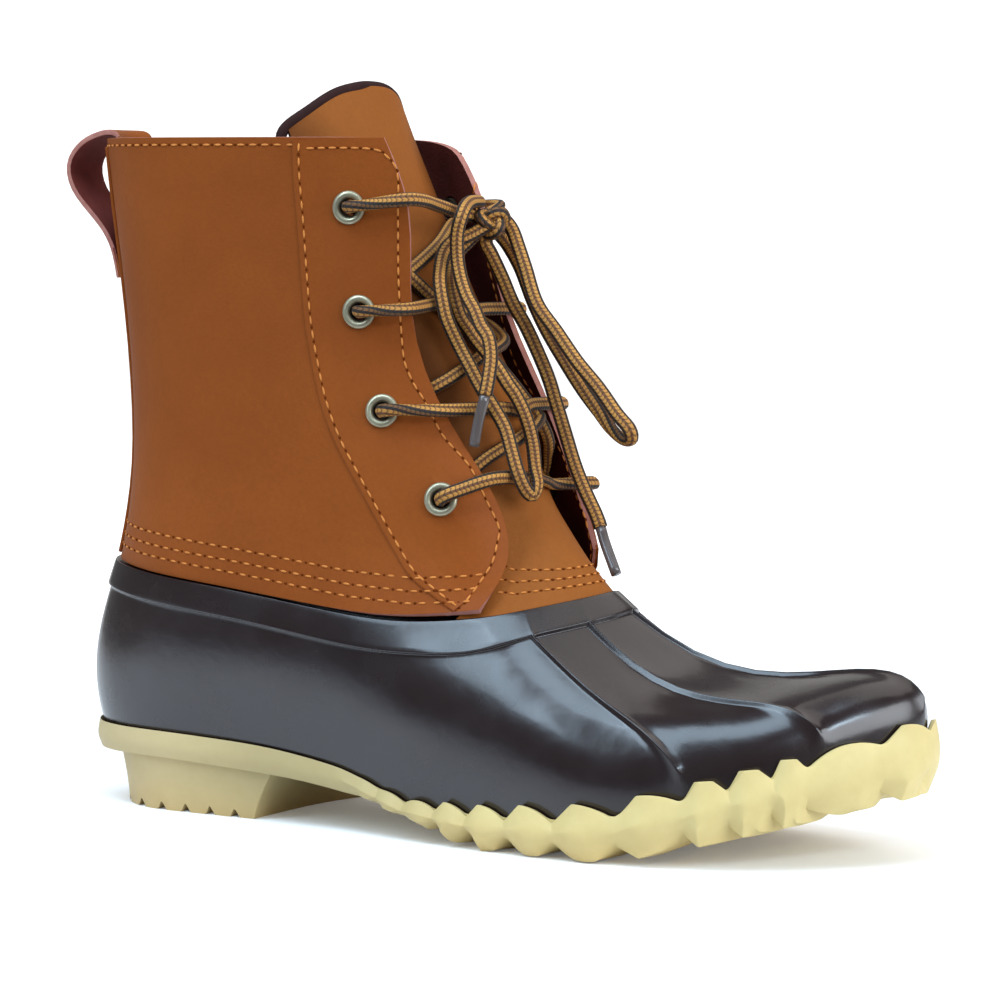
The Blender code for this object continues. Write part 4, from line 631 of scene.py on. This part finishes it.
print("faces of the solids:", sum(len(node.data.polygons) for node in nodes.values()))

# %% [markdown]
# The outsole is cream crepe-like rubber: matt, speckled, browner at the heel, with painted shade under the
# arch, and darker just over the ground. Height and place along the boot steer those changes, with noise to
# break them up.

# %% Outsole finish
def sole_finish():
    """Cream crepe-like rubber, browner at the heel, with painted shade under the arch, darker near the
    ground.
    """
    made = Finish("cream_rubber", srgb(178, 162, 116), 0.55, Specular_IOR_Level=0.25)
    ahead = made.part(made.place(), "X")
    high = made.part(made.place(), "Z")
    speck = made.noise(0.0025, 4, 0.6)
    heel_side = 1 - made.fade(ahead, -0.03, 0.12)
    # painted shade under the arch, just ahead of the heel
    arch_shade = made.fade(ahead, 0.0, 0.035) * (1 - made.fade(ahead, 0.06, 0.12))
    # darker and browner just over the ground
    near_ground = 0.5 * (1 - made.fade(high + made.noise(0.012) * 0.012, 0.004, 0.02))
    tone = made.mixed(made.noise(0.03, 4), srgb(216, 199, 142), srgb(204, 182, 122))
    tone = made.mixed(heel_side, tone, srgb(188, 168, 128))
    # the arch's painted shade, mixed in at most 0.6
    tone = made.mixed(arch_shade * 0.6, tone, srgb(150, 136, 100))
    tone = made.mixed(near_ground, tone, srgb(186, 150, 94))
    made.feed("Base Color", made.mixed(speck * 0.25, tone, srgb(150, 122, 72)))
    made.feed("Roughness", made.fade(made.noise(0.01), 0.3, 0.7, 0.42, 0.62))
    made.feed("Normal", made.bump(speck, 0.0002, 0.5))
    return made.material


CREAM = sole_finish()
print("outsole finish with", len(CREAM.node_tree.nodes), "nodes")

# %% [markdown]
# The chain lugs of a moulded sole have soft, rolled forms, while its heel block keeps crisp edges. So a
# smoothing modifier works on a group of points only: it starts ahead of the heel, and leaves out the tread,
# which must stay flat on the floor.

# %% Outsole
LUGS_FROM, LUGS_FULL = 0.02, 0.05
TREAD, TREAD_CLEAR = 0.001, 0.004


def share(value, low, high):
    """How far a value is on its way from low to high, between 0 and 1."""
    return min(1.0, max(0.0, (value - low) / (high - low)))


sole = smooth_copy("outsole", "outsole_cream", 0.7 * MM, 2, 38)
alone(sole)
for name in ("edge", "rounding"):
    bpy.ops.object.modifier_apply(modifier=name)
lugs = sole.vertex_groups.new(name="lugs")
for v in sole.data.vertices:
    soft = share(v.co.x, LUGS_FROM, LUGS_FULL) * share(v.co.z, TREAD, TREAD_CLEAR)
    if soft > 0:
        lugs.add([v.index], soft, "REPLACE")
worn_round = sole.modifiers.new("worn_round", "SMOOTH")
worn_round.factor = 0.5
worn_round.iterations = 36
worn_round.vertex_group = "lugs"
settle(sole, CREAM, ["outsole"], 50)
print("outsole faces:", len(sole.data.polygons))

# %% [markdown]
# The shoe part is dark brown rubber that comes out of a polished mould: almost a mirror, but with shallow
# waves in its skin that make a lamp's reflection wander. Two bumps do that, one wide and one fine, under a
# thin coat.

# %% Rubber shoe
def shoe_finish():
    """Dark brown rubber with a wet-looking skin."""
    made = Finish("brown_rubber", srgb(38, 27, 27), 0.24, Coat_Weight=0.2, Coat_Roughness=0.1,
                  Specular_IOR_Level=0.68)
    made.feed("Base Color", made.mixed(made.noise(0.02, 3), srgb(38, 26, 26), srgb(28, 19, 21)))
    made.feed("Roughness", made.fade(made.noise(0.008, 4), 0.3, 0.7, 0.2, 0.3))
    waves = made.bump(made.noise(0.006, 2), 0.0003, 0.35)
    made.feed("Normal", made.bump(made.noise(0.0012, 3), 0.00006, 0.5, waves))
    return made.material


shoe = settle(smooth_copy("rubber_shell", "rubber_shoe", 0.35 * MM), shoe_finish(),
              ["rubber_shell"], 50)
print("rubber shoe faces:", len(shoe.data.polygons))

# %% [markdown]
# The leather is smooth and oiled. Its colour comes in clouds, from the tanning, with pores that are a little
# darker, a fine grain and faint wrinkles that run round the leg. Its inner side has a red-brown lining, and
# a cut edge shows the raw pinkish middle of the hide.

# %% Leather and its other sides
def leather_finish(name, pale, deep, rougher=0.0):
    """Smooth oiled leather with clouds of colour, fine grain and faint wrinkles."""
    made = Finish(name, pale, 0.5, Specular_IOR_Level=0.08)
    cloud = made.noise(0.035, 5, 0.6)
    wrinkle = made.noise(0.006, 5, 0.65, stretch=(1, 1, 0.45))
    tone = made.mixed(made.fade(cloud, 0.3, 0.72), pale, deep)
    made.feed("Base Color", made.mixed(made.noise(0.0007, 2) * 0.3, tone, tuple(c * 0.6 for c in deep)))
    made.feed("Roughness", made.fade(cloud, 0.2, 0.8, 0.44 + rougher, 0.58 + rougher))
    grain = made.bump(made.cells(0.0009), 0.00012, 0.3)
    made.feed("Normal", made.bump(wrinkle, 0.00045, 0.35, grain))
    return made


def mottled(name, colour, roughness, size, detail, pale, deep, **sockets):
    """Finish whose colour wanders between a pale and a deep tone, with spots of about a size."""
    made = Finish(name, srgb(*colour), roughness, **sockets)
    made.feed("Base Color", made.mixed(made.noise(size, *detail), srgb(*pale), srgb(*deep)))
    return made


LEATHER = leather_finish("tan_leather", srgb(144, 77, 34), srgb(125, 65, 29)).material
EDGE = mottled("cut_edge", (176, 122, 112), 0.8, 0.0015, (4,), (180, 126, 114), (136, 84, 76),
               Specular_IOR_Level=0.1).material
FLESH = mottled("flesh_side", (118, 58, 52), 0.85, 0.003, (5, 0.6), (126, 62, 56), (88, 42, 38),
                Specular_IOR_Level=0.1).material
cloth = mottled("lining_cloth", (70, 32, 26), 0.85, 0.004, (4,), (82, 38, 32), (52, 24, 20),
                Specular_IOR_Level=0.1)
cloth.feed("Normal", cloth.bump(cloth.cells(0.0008), 0.0002, 0.5))
LINING = cloth.material
print("leather finishes:", [finish.name for finish in (LEATHER, EDGE, FLESH, LINING)])

# %% [markdown]
# The shaft is one wall with three kinds of face. Painting them by hand would have to be done again after
# every change. A ray shot inwards from a face tells them apart: a face with little more than the wall behind
# it is a broad side, outer or inner by where it looks, and a face with much behind it is a cut edge.

# %% Leather shaft
SHAFT_WALL, TONGUE_WALL = 2.6 * MM, 4.6 * MM


def tree_of(*pieces):
    """Search tree over the surfaces of some pieces."""
    points, faces = [], []
    for piece in pieces:
        start = len(points)
        points += [v.co.copy() for v in piece.data.vertices]
        faces += [tuple(start + i for i in face.vertices) for face in piece.data.polygons]
    return BVHTree.FromPolygons(points, faces)


def sort_faces(piece, heart, level, outer, inner, edge, wall):
    """Outer, inner and edge finishes; outer faces look away from the heart, seen along the level axis."""
    piece.data.materials.clear()
    for finish in (outer, inner, edge):
        piece.data.materials.append(finish)
    tree = tree_of(piece)
    for face in piece.data.polygons:
        behind = tree.ray_cast(face.center - face.normal * 0.05 * MM, -face.normal)[3]
        out = face.center - Vector(heart)
        out[level] = 0.0
        thick = behind is None or behind > wall
        face.material_index = 2 if thick else 0 if face.normal.dot(out) > 0 else 1


def side_areas(piece):
    """Area of a piece's outer, inner and edge faces in square centimetres, for printing."""
    areas = [0.0, 0.0, 0.0]
    for face in piece.data.polygons:
        areas[face.material_index] += face.area * 1e4
    return [round(area) for area in areas]


shaft = settle(smooth_copy("leather_shaft", "leather_upper", 0.35 * MM), None,
               ["leather_shaft"], 50)
sort_faces(shaft, (0.03, 0, 0), 2, LEATHER, LINING, EDGE, SHAFT_WALL)
print("shaft: outer, inner and edge area in cm2:", side_areas(shaft))

# %% [markdown]
# The tongue is cut from a paler, rougher leather. Under the facings and the lace its colour gets painted
# shade, where the light doesn't reach. The distance from each of its points to the shaft is stored on the
# mesh, and the finish reads it as the painted shade. Its upper front is plain leather.

# %% Tongue
def paint_shade_near(finish, piece, neighbour, near, far, low, high):
    """Paints shade into a finish's colour where a piece is close to another one, and only above a height."""
    tree = tree_of(neighbour)
    values = [(1 - share(tree.find_nearest(v.co)[3], near, far)) * share(v.co.z, low, high)
              for v in piece.data.vertices]
    piece.data.attributes.new("shade", "FLOAT", "POINT").data.foreach_set("value", values)
    shade = finish.node("ShaderNodeAttribute", {"attribute_name": "shade"}, output="Fac")
    colour = Wire(finish, finish.surface.inputs["Base Color"].links[0].from_socket)
    # painted shade: the colour darkens towards this deep brown near the facings
    finish.feed("Base Color", finish.mixed(shade * 0.85, colour, srgb(44, 20, 10)))
    return round(sum(values) / len(values), 2)


tongue = settle(smooth_copy("tongue", "leather_tongue", 0.5 * MM, 2), None, ["tongue"], 50)
TONGUE = leather_finish("tongue_leather", srgb(149, 88, 42), srgb(131, 75, 35), 0.15)
print("mean shade of the tongue:", paint_shade_near(TONGUE, tongue, shaft, 2 * MM, 17 * MM, 96 * MM, 128 * MM))
sort_faces(tongue, (0, 0, 0), 2, TONGUE.material, LINING, LINING, TONGUE_WALL)

# %% [markdown]
# A narrow stay covers the back seam, and a strap over the collar makes the pull loop. The loop turns its
# fleshy side in, which shows behind the heel, so its faces are sorted around its own middle. The insole is
# covered with the lining's cloth.

# %% Back stay, pull loop and insole
LOOP_HEART = (-0.04, 0, 0.19)

stay = settle(smooth_copy("back_stay", "leather_back_stay", 0.3 * MM), LEATHER, ["back_stay"], 50)
loop = settle(smooth_copy("pull_loop", "leather_pull_loop", 0.3 * MM), None, ["pull_loop"], 50)
sort_faces(loop, LOOP_HEART, 1, LEATHER, FLESH, EDGE, SHAFT_WALL)
insole = settle(smooth_copy("insole", "insole_cloth", 0.5 * MM), LINING, ["insole"], 50)
print("faces of stay, loop and insole:", [len(piece.data.polygons) for piece in (stay, loop, insole)])

# %% [markdown]
# An eyelet is a short brass tube whose end is rolled outwards over the leather. It is modelled once, at the
# origin: a flattened torus for the roll, and a tube with a wall for the barrel, whose flat dark brass is
# painted shade inside the eyelet. The roll's antique brass is worn pale and dull in patches.

# %% Pattern eyelet
ROLL_RADIUS, ROLL_THICK, ROLL_FLAT, ROLL_LIFT = 4.05 * MM, 1.1 * MM, 0.8, 0.75 * MM
BARREL_RADIUS, BARREL_LENGTH, BARREL_SUNK, BARREL_WALL = 3.1 * MM, 4.0 * MM, 1.2 * MM, 0.4 * MM


def brass_finish():
    """Antique brass, worn pale and dull in patches."""
    made = Finish("antique_brass", srgb(186, 180, 156), 0.42, Metallic=0.75)
    wear = made.noise(0.0018, 4, 0.6)
    made.feed("Base Color", made.mixed(wear, srgb(200, 192, 166), srgb(126, 118, 92)))
    made.feed("Roughness", made.fade(wear, 0.3, 0.7, 0.28, 0.5))
    return made.material


bpy.ops.object.select_all(action="DESELECT")
bpy.ops.mesh.primitive_torus_add(major_segments=40, minor_segments=12, major_radius=ROLL_RADIUS,
                                 minor_radius=ROLL_THICK)
roll_ring = bpy.context.object
roll_ring.scale = (1, 1, ROLL_FLAT)
roll_ring.location = (0, 0, ROLL_LIFT)
bpy.ops.object.transform_apply(location=True, rotation=True, scale=True)
roll_ring.data.materials.append(brass_finish())
bpy.ops.object.select_all(action="DESELECT")
bpy.ops.mesh.primitive_cylinder_add(vertices=40, radius=BARREL_RADIUS, depth=BARREL_LENGTH,
                                    end_fill_type="NOTHING", location=(0, 0, -BARREL_SUNK))
barrel = bpy.context.object
# the barrel's flat dark brass is painted shade inside the eyelet
barrel.data.materials.append(Finish("brass_barrel_shade", srgb(58, 48, 34), 0.6, Metallic=0.4).material)
barrel.modifiers.new("wall", "SOLIDIFY").thickness = BARREL_WALL
bpy.ops.object.modifier_apply(modifier="wall")
roll_ring.select_set(True)
bpy.context.view_layer.objects.active = roll_ring
bpy.ops.object.join()
bpy.ops.object.transform_apply(location=True, rotation=True, scale=True)
pattern_eyelet = bpy.context.object
print("faces of one eyelet:", len(pattern_eyelet.data.polygons))

# %% [markdown]
# Each hole wants its own copy, square to the leather. The solid eyelet says how: the direction in which its
# points spread least is its axis, and the roll sits just under its outer end.

# %% Eight eyelets
SOLID_ROLL = 1.7 * MM


def eyelet_seat(node, sign):
    """Place of an eyelet on the leather's face, and its way out."""
    points = np.array([tuple(v.co) for v in node.data.vertices])
    middle = (points.max(axis=0) + points.min(axis=0)) / 2
    axis = np.linalg.svd(points - points.mean(axis=0))[2][2]
    out = Vector(axis if axis[1] * sign > 0 else -axis)
    top = ((points - middle) @ np.array(out)).max()
    return Vector(middle) + out * (top - SOLID_ROLL), out


for side, sign in (("lateral", -1), ("medial", 1)):
    for number in range(1, 5):
        node = nodes[f"eyelet_{side}_{number}"]
        eyelet = pattern_eyelet.copy()
        eyelet.data = pattern_eyelet.data.copy()
        eyelet.name = f"brass_eyelet_{side}_{number}"
        bpy.context.scene.collection.objects.link(eyelet)
        eyelet.location, out = eyelet_seat(node, sign)
        eyelet.rotation_mode = "QUATERNION"
        eyelet.rotation_quaternion = out.to_track_quat("Z", "Y")
        settle(eyelet, None, [node.name], 50)
        print(eyelet.name, "leans out by", round(math.degrees(math.asin(abs(out.x))), 1), "degrees in x")
bpy.data.objects.remove(pattern_eyelet)

# %% [markdown]
# Stitches hold a boot's looks together. Painted dots would stay flat, and a modelled thread with its turns is
# far too heavy for a thousand stitches. One small drop of waxed thread does: it has under fifty faces, lies
# along the seam, and is sunk a little into the leather. Between two drops lies the needle hole, a dark drop
# of painted shade.

# %% Thread, hole and drop
STITCH, STITCH_LIFT = (1.3, 0.36, 0.26), 0.12 * MM
HOLE = (0.6, 0.42, 0.14)

THREAD = mottled("thread", (204, 128, 62), 0.6, 0.0015, (2,), (210, 134, 66), (176, 102, 46),
                 Specular_IOR_Level=0.2).material
# the needle holes' colour is painted shade, the dark of a hole in shadow
HOLE_SHADE = mottled("needle_hole_shade", (92, 46, 22), 0.9, 0.002, (), (104, 52, 24), (78, 38, 18),
                 Specular_IOR_Level=0.0).material
bpy.ops.object.select_all(action="DESELECT")
bpy.ops.mesh.primitive_uv_sphere_add(segments=8, ring_count=6, radius=1)
drop = bpy.context.object
drop_points = np.array([tuple(v.co) for v in drop.data.vertices])
drop_faces = [tuple(face.vertices) for face in drop.data.polygons]
bpy.data.objects.remove(drop)
print("faces of one drop:", len(drop_faces))

# %% [markdown]
# A seam must lie on the leather, wherever the leather is. Its line is therefore shone onto the surface: rays
# go out from where the seam is drawn, and what they meet gives a place and the way out of the surface. The
# seam then lays its drops along that chain, evenly.

# %% Seams
def shone(tree, rays, reach=0.2):
    """Spots where rays, given as an aim and a direction, meet a surface before they reach their aim."""
    found = []
    for aim, way in rays:
        way = Vector(way).normalized()
        place, normal, _, far = tree.ray_cast(Vector(aim) - way * reach, way)
        if place is not None and far < reach:
            found.append((place, normal if normal.dot(way) < 0 else -normal))
    return found


def drops(name, copies, finish):
    """One piece from copies of the drop, each given by its points."""
    size = len(drop_points)
    faces = [tuple(k * size + i for i in face) for k in range(len(copies)) for face in drop_faces]
    settle(mesh_piece(name, np.concatenate(copies), faces), finish, smooth=60)


def seam(name, spots, pitch, size=STITCH):
    """Stitches along a chain of surface spots; size has half axes in millimetres. Returns their number."""
    line, normals = (np.array([tuple(spot[k]) for spot in spots]) for k in range(2))
    along = distances(line)

    def at(distance, table):
        return np.array([np.interp(distance, along, table[:, c]) for c in range(3)])

    threads, holes = [], []
    count = max(1, int(along[-1] / pitch))
    for k in range(count):
        middle = (k + 0.5) * along[-1] / count
        ahead = at(middle + pitch / 2, line) - at(middle - pitch / 2, line)
        ahead /= np.linalg.norm(ahead)
        up = at(middle, normals)
        up -= ahead * (up @ ahead)
        up /= np.linalg.norm(up)
        turned = np.stack([ahead, np.cross(up, ahead), up])
        threads.append(at(middle, line) + drop_points * np.array(size) * MM @ turned + STITCH_LIFT * up)
        # a flat dark drop at each needle hole: painted shade
        holes.append(at(middle, line) + ahead * pitch / 2 + drop_points * np.array(HOLE) * MM @ turned)
    drops(name, threads, THREAD)
    drops(name + "_holes", holes, HOLE_SHADE)
    print(name, count)
    return count


print("a stitch is", 2 * STITCH[0], "mm long and", 2 * STITCH[1], "mm wide")

# %% [markdown]
# The front panel with the eyelets is a second layer of leather. Two lines describe it from the side, in
# millimetres forwards and up: its rear edge, from the collar down to the vamp, and the line that follows the
# collar and the facing's front edge. The far facing stands a little ahead of the near one, by height.

# %% Lines of the panel
REAR_SEAM = ((50.2, 210.0), (50.1, 199.5), (51.2, 185.2), (52.4, 170.5), (54.0, 155.9), (56.6, 143.2),
             (60.1, 130.8), (64.9, 120.3), (69.7, 112.6), (76.5, 102.3), (85.7, 88.6), (91.4, 81.4),
             (98.9, 76.0), (106.5, 71.2))
FRONT_SEAM = ((52.0, 207.6), (62.4, 207.8), (73.0, 207.4), (77.1, 205.2), (80.2, 199.7), (80.3, 185.0),
              (80.5, 166.0), (82.0, 146.6), (84.6, 138.8), (88.7, 132.2), (95.1, 121.8), (103.6, 112.4),
              (110.0, 101.2), (113.0, 94.6), (113.2, 90.2), (112.6, 84.1), (110.2, 78.0), (107.8, 72.4))
# heights, and how far the medial facing's edge is ahead of the lateral one there
MEDIAL_AHEAD = ((70.0, 86.0, 104.0, 130.0, 160.0, 190.0, 211.0), (10.0, 11.6, 5.9, 9.0, 5.3, -1.5, -5.0))
SIDES = (("lateral", -1), ("medial", 1))


def on_side(table, sign, ahead=1.0):
    """Rays onto one side of the shaft through a smooth line over a table of x and z."""
    line = smooth_line(table, 1.0)
    if sign > 0:
        line[:, 0] += ahead * np.interp(line[:, 1], *MEDIAL_AHEAD)
    return [((x * MM, 0.0, z * MM), (0, -sign, 0)) for x, z in line]


print("rays for the rear edge:", len(on_side(REAR_SEAM, -1)))

# %% [markdown]
# The panel's rear edge stands over the leather behind it, and casts a thin shadow. A whole second layer would
# have to clear the eyelets. A strip along the seam is enough: full height behind the stitches, fading out
# ahead of them. Each point of its profile is laid on the leather, so it follows every curve.

# %% Panel edge
PANEL_PROFILE = ((-2.3, -0.4), (-2.3, 0.35), (-2.05, 0.62), (-1.5, 0.7), (0.0, 0.55), (2.5, 0.28),
                 (5.0, 0.06), (7.0, -0.12), (7.2, -0.5))
SAME_SIDE = 0.6


def panel_edge(name, tree, spots, sign):
    """Raised edge of the front panel along its rear seam."""
    line = np.array([tuple(place) for place, _ in spots])
    points = []
    for point, way, (_, up) in zip(line, np.gradient(line, axis=0), spots):
        across = np.cross(way / np.linalg.norm(way), up) * sign
        for sideways, high in PANEL_PROFILE:
            place, normal, _, _ = tree.find_nearest(Vector(point + across * sideways * MM))
            lift = normal if normal.dot(up) > SAME_SIDE else up
            points.append(np.array(place) + np.array(lift) * high * MM)
    strip = mesh_piece(name, points, shell_faces(len(line), len(PANEL_PROFILE)))
    face_outwards(strip)
    return settle(strip, LEATHER, smooth=40)


shaft_tree = tree_of(shaft)
panel_edges = []
for side, sign in SIDES:
    rear = shone(shaft_tree, on_side(REAR_SEAM, sign, 0.5))
    panel_edges.append(panel_edge(f"panel_edge_{side}", shaft_tree, rear, sign))
print("faces of the panel edges:", [len(strip.data.polygons) for strip in panel_edges])

# %% [markdown]
# Two seams hold the panel on each side: one through its raised edge, and a finer one along the collar and the
# facing's front edge. They are shone onto the leather and the raised edges together.

# %% Panel seams
leather_tree = tree_of(shaft, *panel_edges)
total = 0
for side, sign in SIDES:
    rear = shone(leather_tree, on_side(REAR_SEAM, sign, 0.5))
    total += seam(f"stitches_panel_{side}", rear, 4.3 * MM)
    front = shone(leather_tree, on_side(FRONT_SEAM, sign))
    total += seam(f"stitches_facing_{side}", front, 3.5 * MM)
print("stitches so far:", total)

# %% [markdown]
# Three rows join leather and rubber, one above the other, all round the heel, and one more row holds the
# collar. The three keep their distance from the rubber's edge, so their height follows that edge. Their rays
# come from the sides and fan out round the heel.

# %% Rows above the rubber
RUBBER_EDGE = ((-36.0, -8.0, 30.0, 69.0, 91.0, 108.0, 122.0), (77.5, 75.0, 71.5, 67.2, 66.1, 67.3, 69.5))
ROW_RISES = (13.1, 9.2, 5.6)
ROW_PITCH = 4.6 * MM
COLLAR_SEAM, COLLAR_PITCH = 208.7, 4.2 * MM
HEEL_MIDDLE, HEEL_ROUND = -5.0, 30.0


def round_heel(height, front):
    """Rays all round the shaft from the lateral to the medial front, at a height that depends on x."""
    lateral = [(x, 0.0, -1.0) for x in np.arange(front, HEEL_MIDDLE, -1.0)]
    back = [(HEEL_MIDDLE, math.cos(a), math.sin(a)) for a in np.radians(np.arange(-90.0, -271.0, -2.0))]
    medial = [(x, 0.0, 1.0) for x in np.arange(HEEL_MIDDLE, front + 4.0, 1.0)]
    return [((x * MM, 0.0, height(x + HEEL_ROUND * out_x) * MM), (-out_x, -out_y, 0.0))
            for x, out_x, out_y in lateral + back + medial]


for number, rise in enumerate(ROW_RISES, 1):
    row = shone(leather_tree, round_heel(lambda x: np.interp(x, *RUBBER_EDGE) + rise, 112.5 - 0.8 * number))
    total += seam(f"stitches_row_{number}", row, ROW_PITCH, (1.15, 0.36, 0.24))
collar = shone(leather_tree, round_heel(lambda x: COLLAR_SEAM, 49.0))
total += seam("stitches_collar", collar, COLLAR_PITCH)
print("stitches so far:", total)

# %% [markdown]
# The same three rows go on over the tongue's base. There the leather slopes back, so a row's distance up the
# slope counts less in height, most of all in front. The rubber's edge falls a little to both sides.

# %% Rows on the tongue's base
FRONT_EDGE, EDGE_FALL = 74.3, 4.7
SLOPE_IN_FRONT = 0.62


def round_tongue(rise):
    """Rays onto the tongue's base at a distance up its slope from the rubber's edge."""
    aimed = []
    for turned in np.arange(-62.0, 63.0, 1.5):
        slope = SLOPE_IN_FRONT + (1 - SLOPE_IN_FRONT) * min(1.0, abs(turned) / 55.0) ** 2
        edge = FRONT_EDGE - EDGE_FALL * min(1.0, abs(turned) / 50.0) ** 1.5
        angle = math.radians(turned)
        aimed.append(((0.1, 0.0, (edge + rise * slope) * MM), (-math.cos(angle), -math.sin(angle), 0.0)))
    return aimed


tongue_tree = tree_of(tongue)
for number, rise in enumerate(ROW_RISES, 1):
    row = shone(tongue_tree, round_tongue(rise), 0.1)
    total += seam(f"stitches_tongue_row_{number}", row, 3.4 * MM, (0.95, 0.34, 0.24))
print("stitches so far:", total)

# %% [markdown]
# The stay is sewn along both its edges. The pull loop's lower end is sewn down in a small square, which takes
# the whole pull of a hand: two short seams along it and two across.

# %% Seams on the back
STAY_SEAMS, STAY_SPAN = 7.2, (79.0, 203.0)
LOOP_SEAMS, LOOP_SPAN = 6.8, (172.5, 180.0)


def on_back(ys, zs):
    """Rays onto the back from behind, at places in millimetres."""
    return [((0.0, y * MM, z * MM), (1, 0, 0)) for y in ys for z in zs]


stay_tree, loop_tree = tree_of(stay), tree_of(loop)
for side, sign in SIDES:
    line = on_back([sign * STAY_SEAMS], np.arange(*STAY_SPAN, 1.0))
    total += seam(f"stitches_stay_{side}", shone(stay_tree, line), 4.0 * MM)
for side, sign in SIDES:
    line = on_back([sign * LOOP_SEAMS], np.arange(*LOOP_SPAN, 0.5))
    total += seam(f"stitches_loop_{side}", shone(loop_tree, line), 3.4 * MM)
for z in (173.0, 179.5):
    line = on_back(np.arange(-LOOP_SEAMS, LOOP_SEAMS + 0.2, 0.5), [z])
    total += seam(f"stitches_loop_across_{round(z)}", shone(loop_tree, line), 3.4 * MM)
print("stitches so far:", total)

# %% [markdown]
# From the front one looks past the tongue at the inside of the far facing, where its seam comes through. The
# same line is shone on it once more, from inside.

# %% Inside of the far facing
INNER_REACH = 0.06
inner_front = [((x, INNER_REACH, z), (0, 1, 0)) for (x, _, z), _ in on_side(FRONT_SEAM[4:], 1)]
total += seam("stitches_facing_inside", shone(leather_tree, inner_front, INNER_REACH), 3.5 * MM)
print("stitches in all:", total)

# %% [markdown]
# The tongue's top is bound with dark suede that wraps over the edge, so from the front only a thin dark roll
# shows above the tan leather. A tube along the rim does for the whole binding, with the lace's helper.

# %% Tongue binding
RIM = ((40.9, -27.0, 207.0), (41.1, -27.0, 213.5), (46.4, -20.2, 219.8), (50.9, -13.5, 224.7),
       (54.5, -6.5, 226.9), (56.0, 0.0, 227.5), (56.8, 6.5, 226.9), (56.3, 13.5, 224.7), (54.5, 20.2, 219.8),
       (51.9, 27.0, 213.5), (52.5, 27.0, 207.0))
BEHIND_RIM = (-1.8, 0.0, -0.5)

SUEDE = mottled("dark_suede", (58, 42, 44), 0.9, 0.002, (4,), (62, 42, 40), (40, 27, 27),
                Specular_IOR_Level=0.1).material
binding, rim_line = lace_tube("tongue_binding", np.array(RIM) + BEHIND_RIM, SUEDE, width=4.0 * MM,
                              depth=3.2 * MM, flat=(1.0, 0.0, 0.3))
print("binding:", round(distances(rim_line)[-1] / MM), "mm")

# %% [markdown]
# The dressed boot has to keep the solids' size.
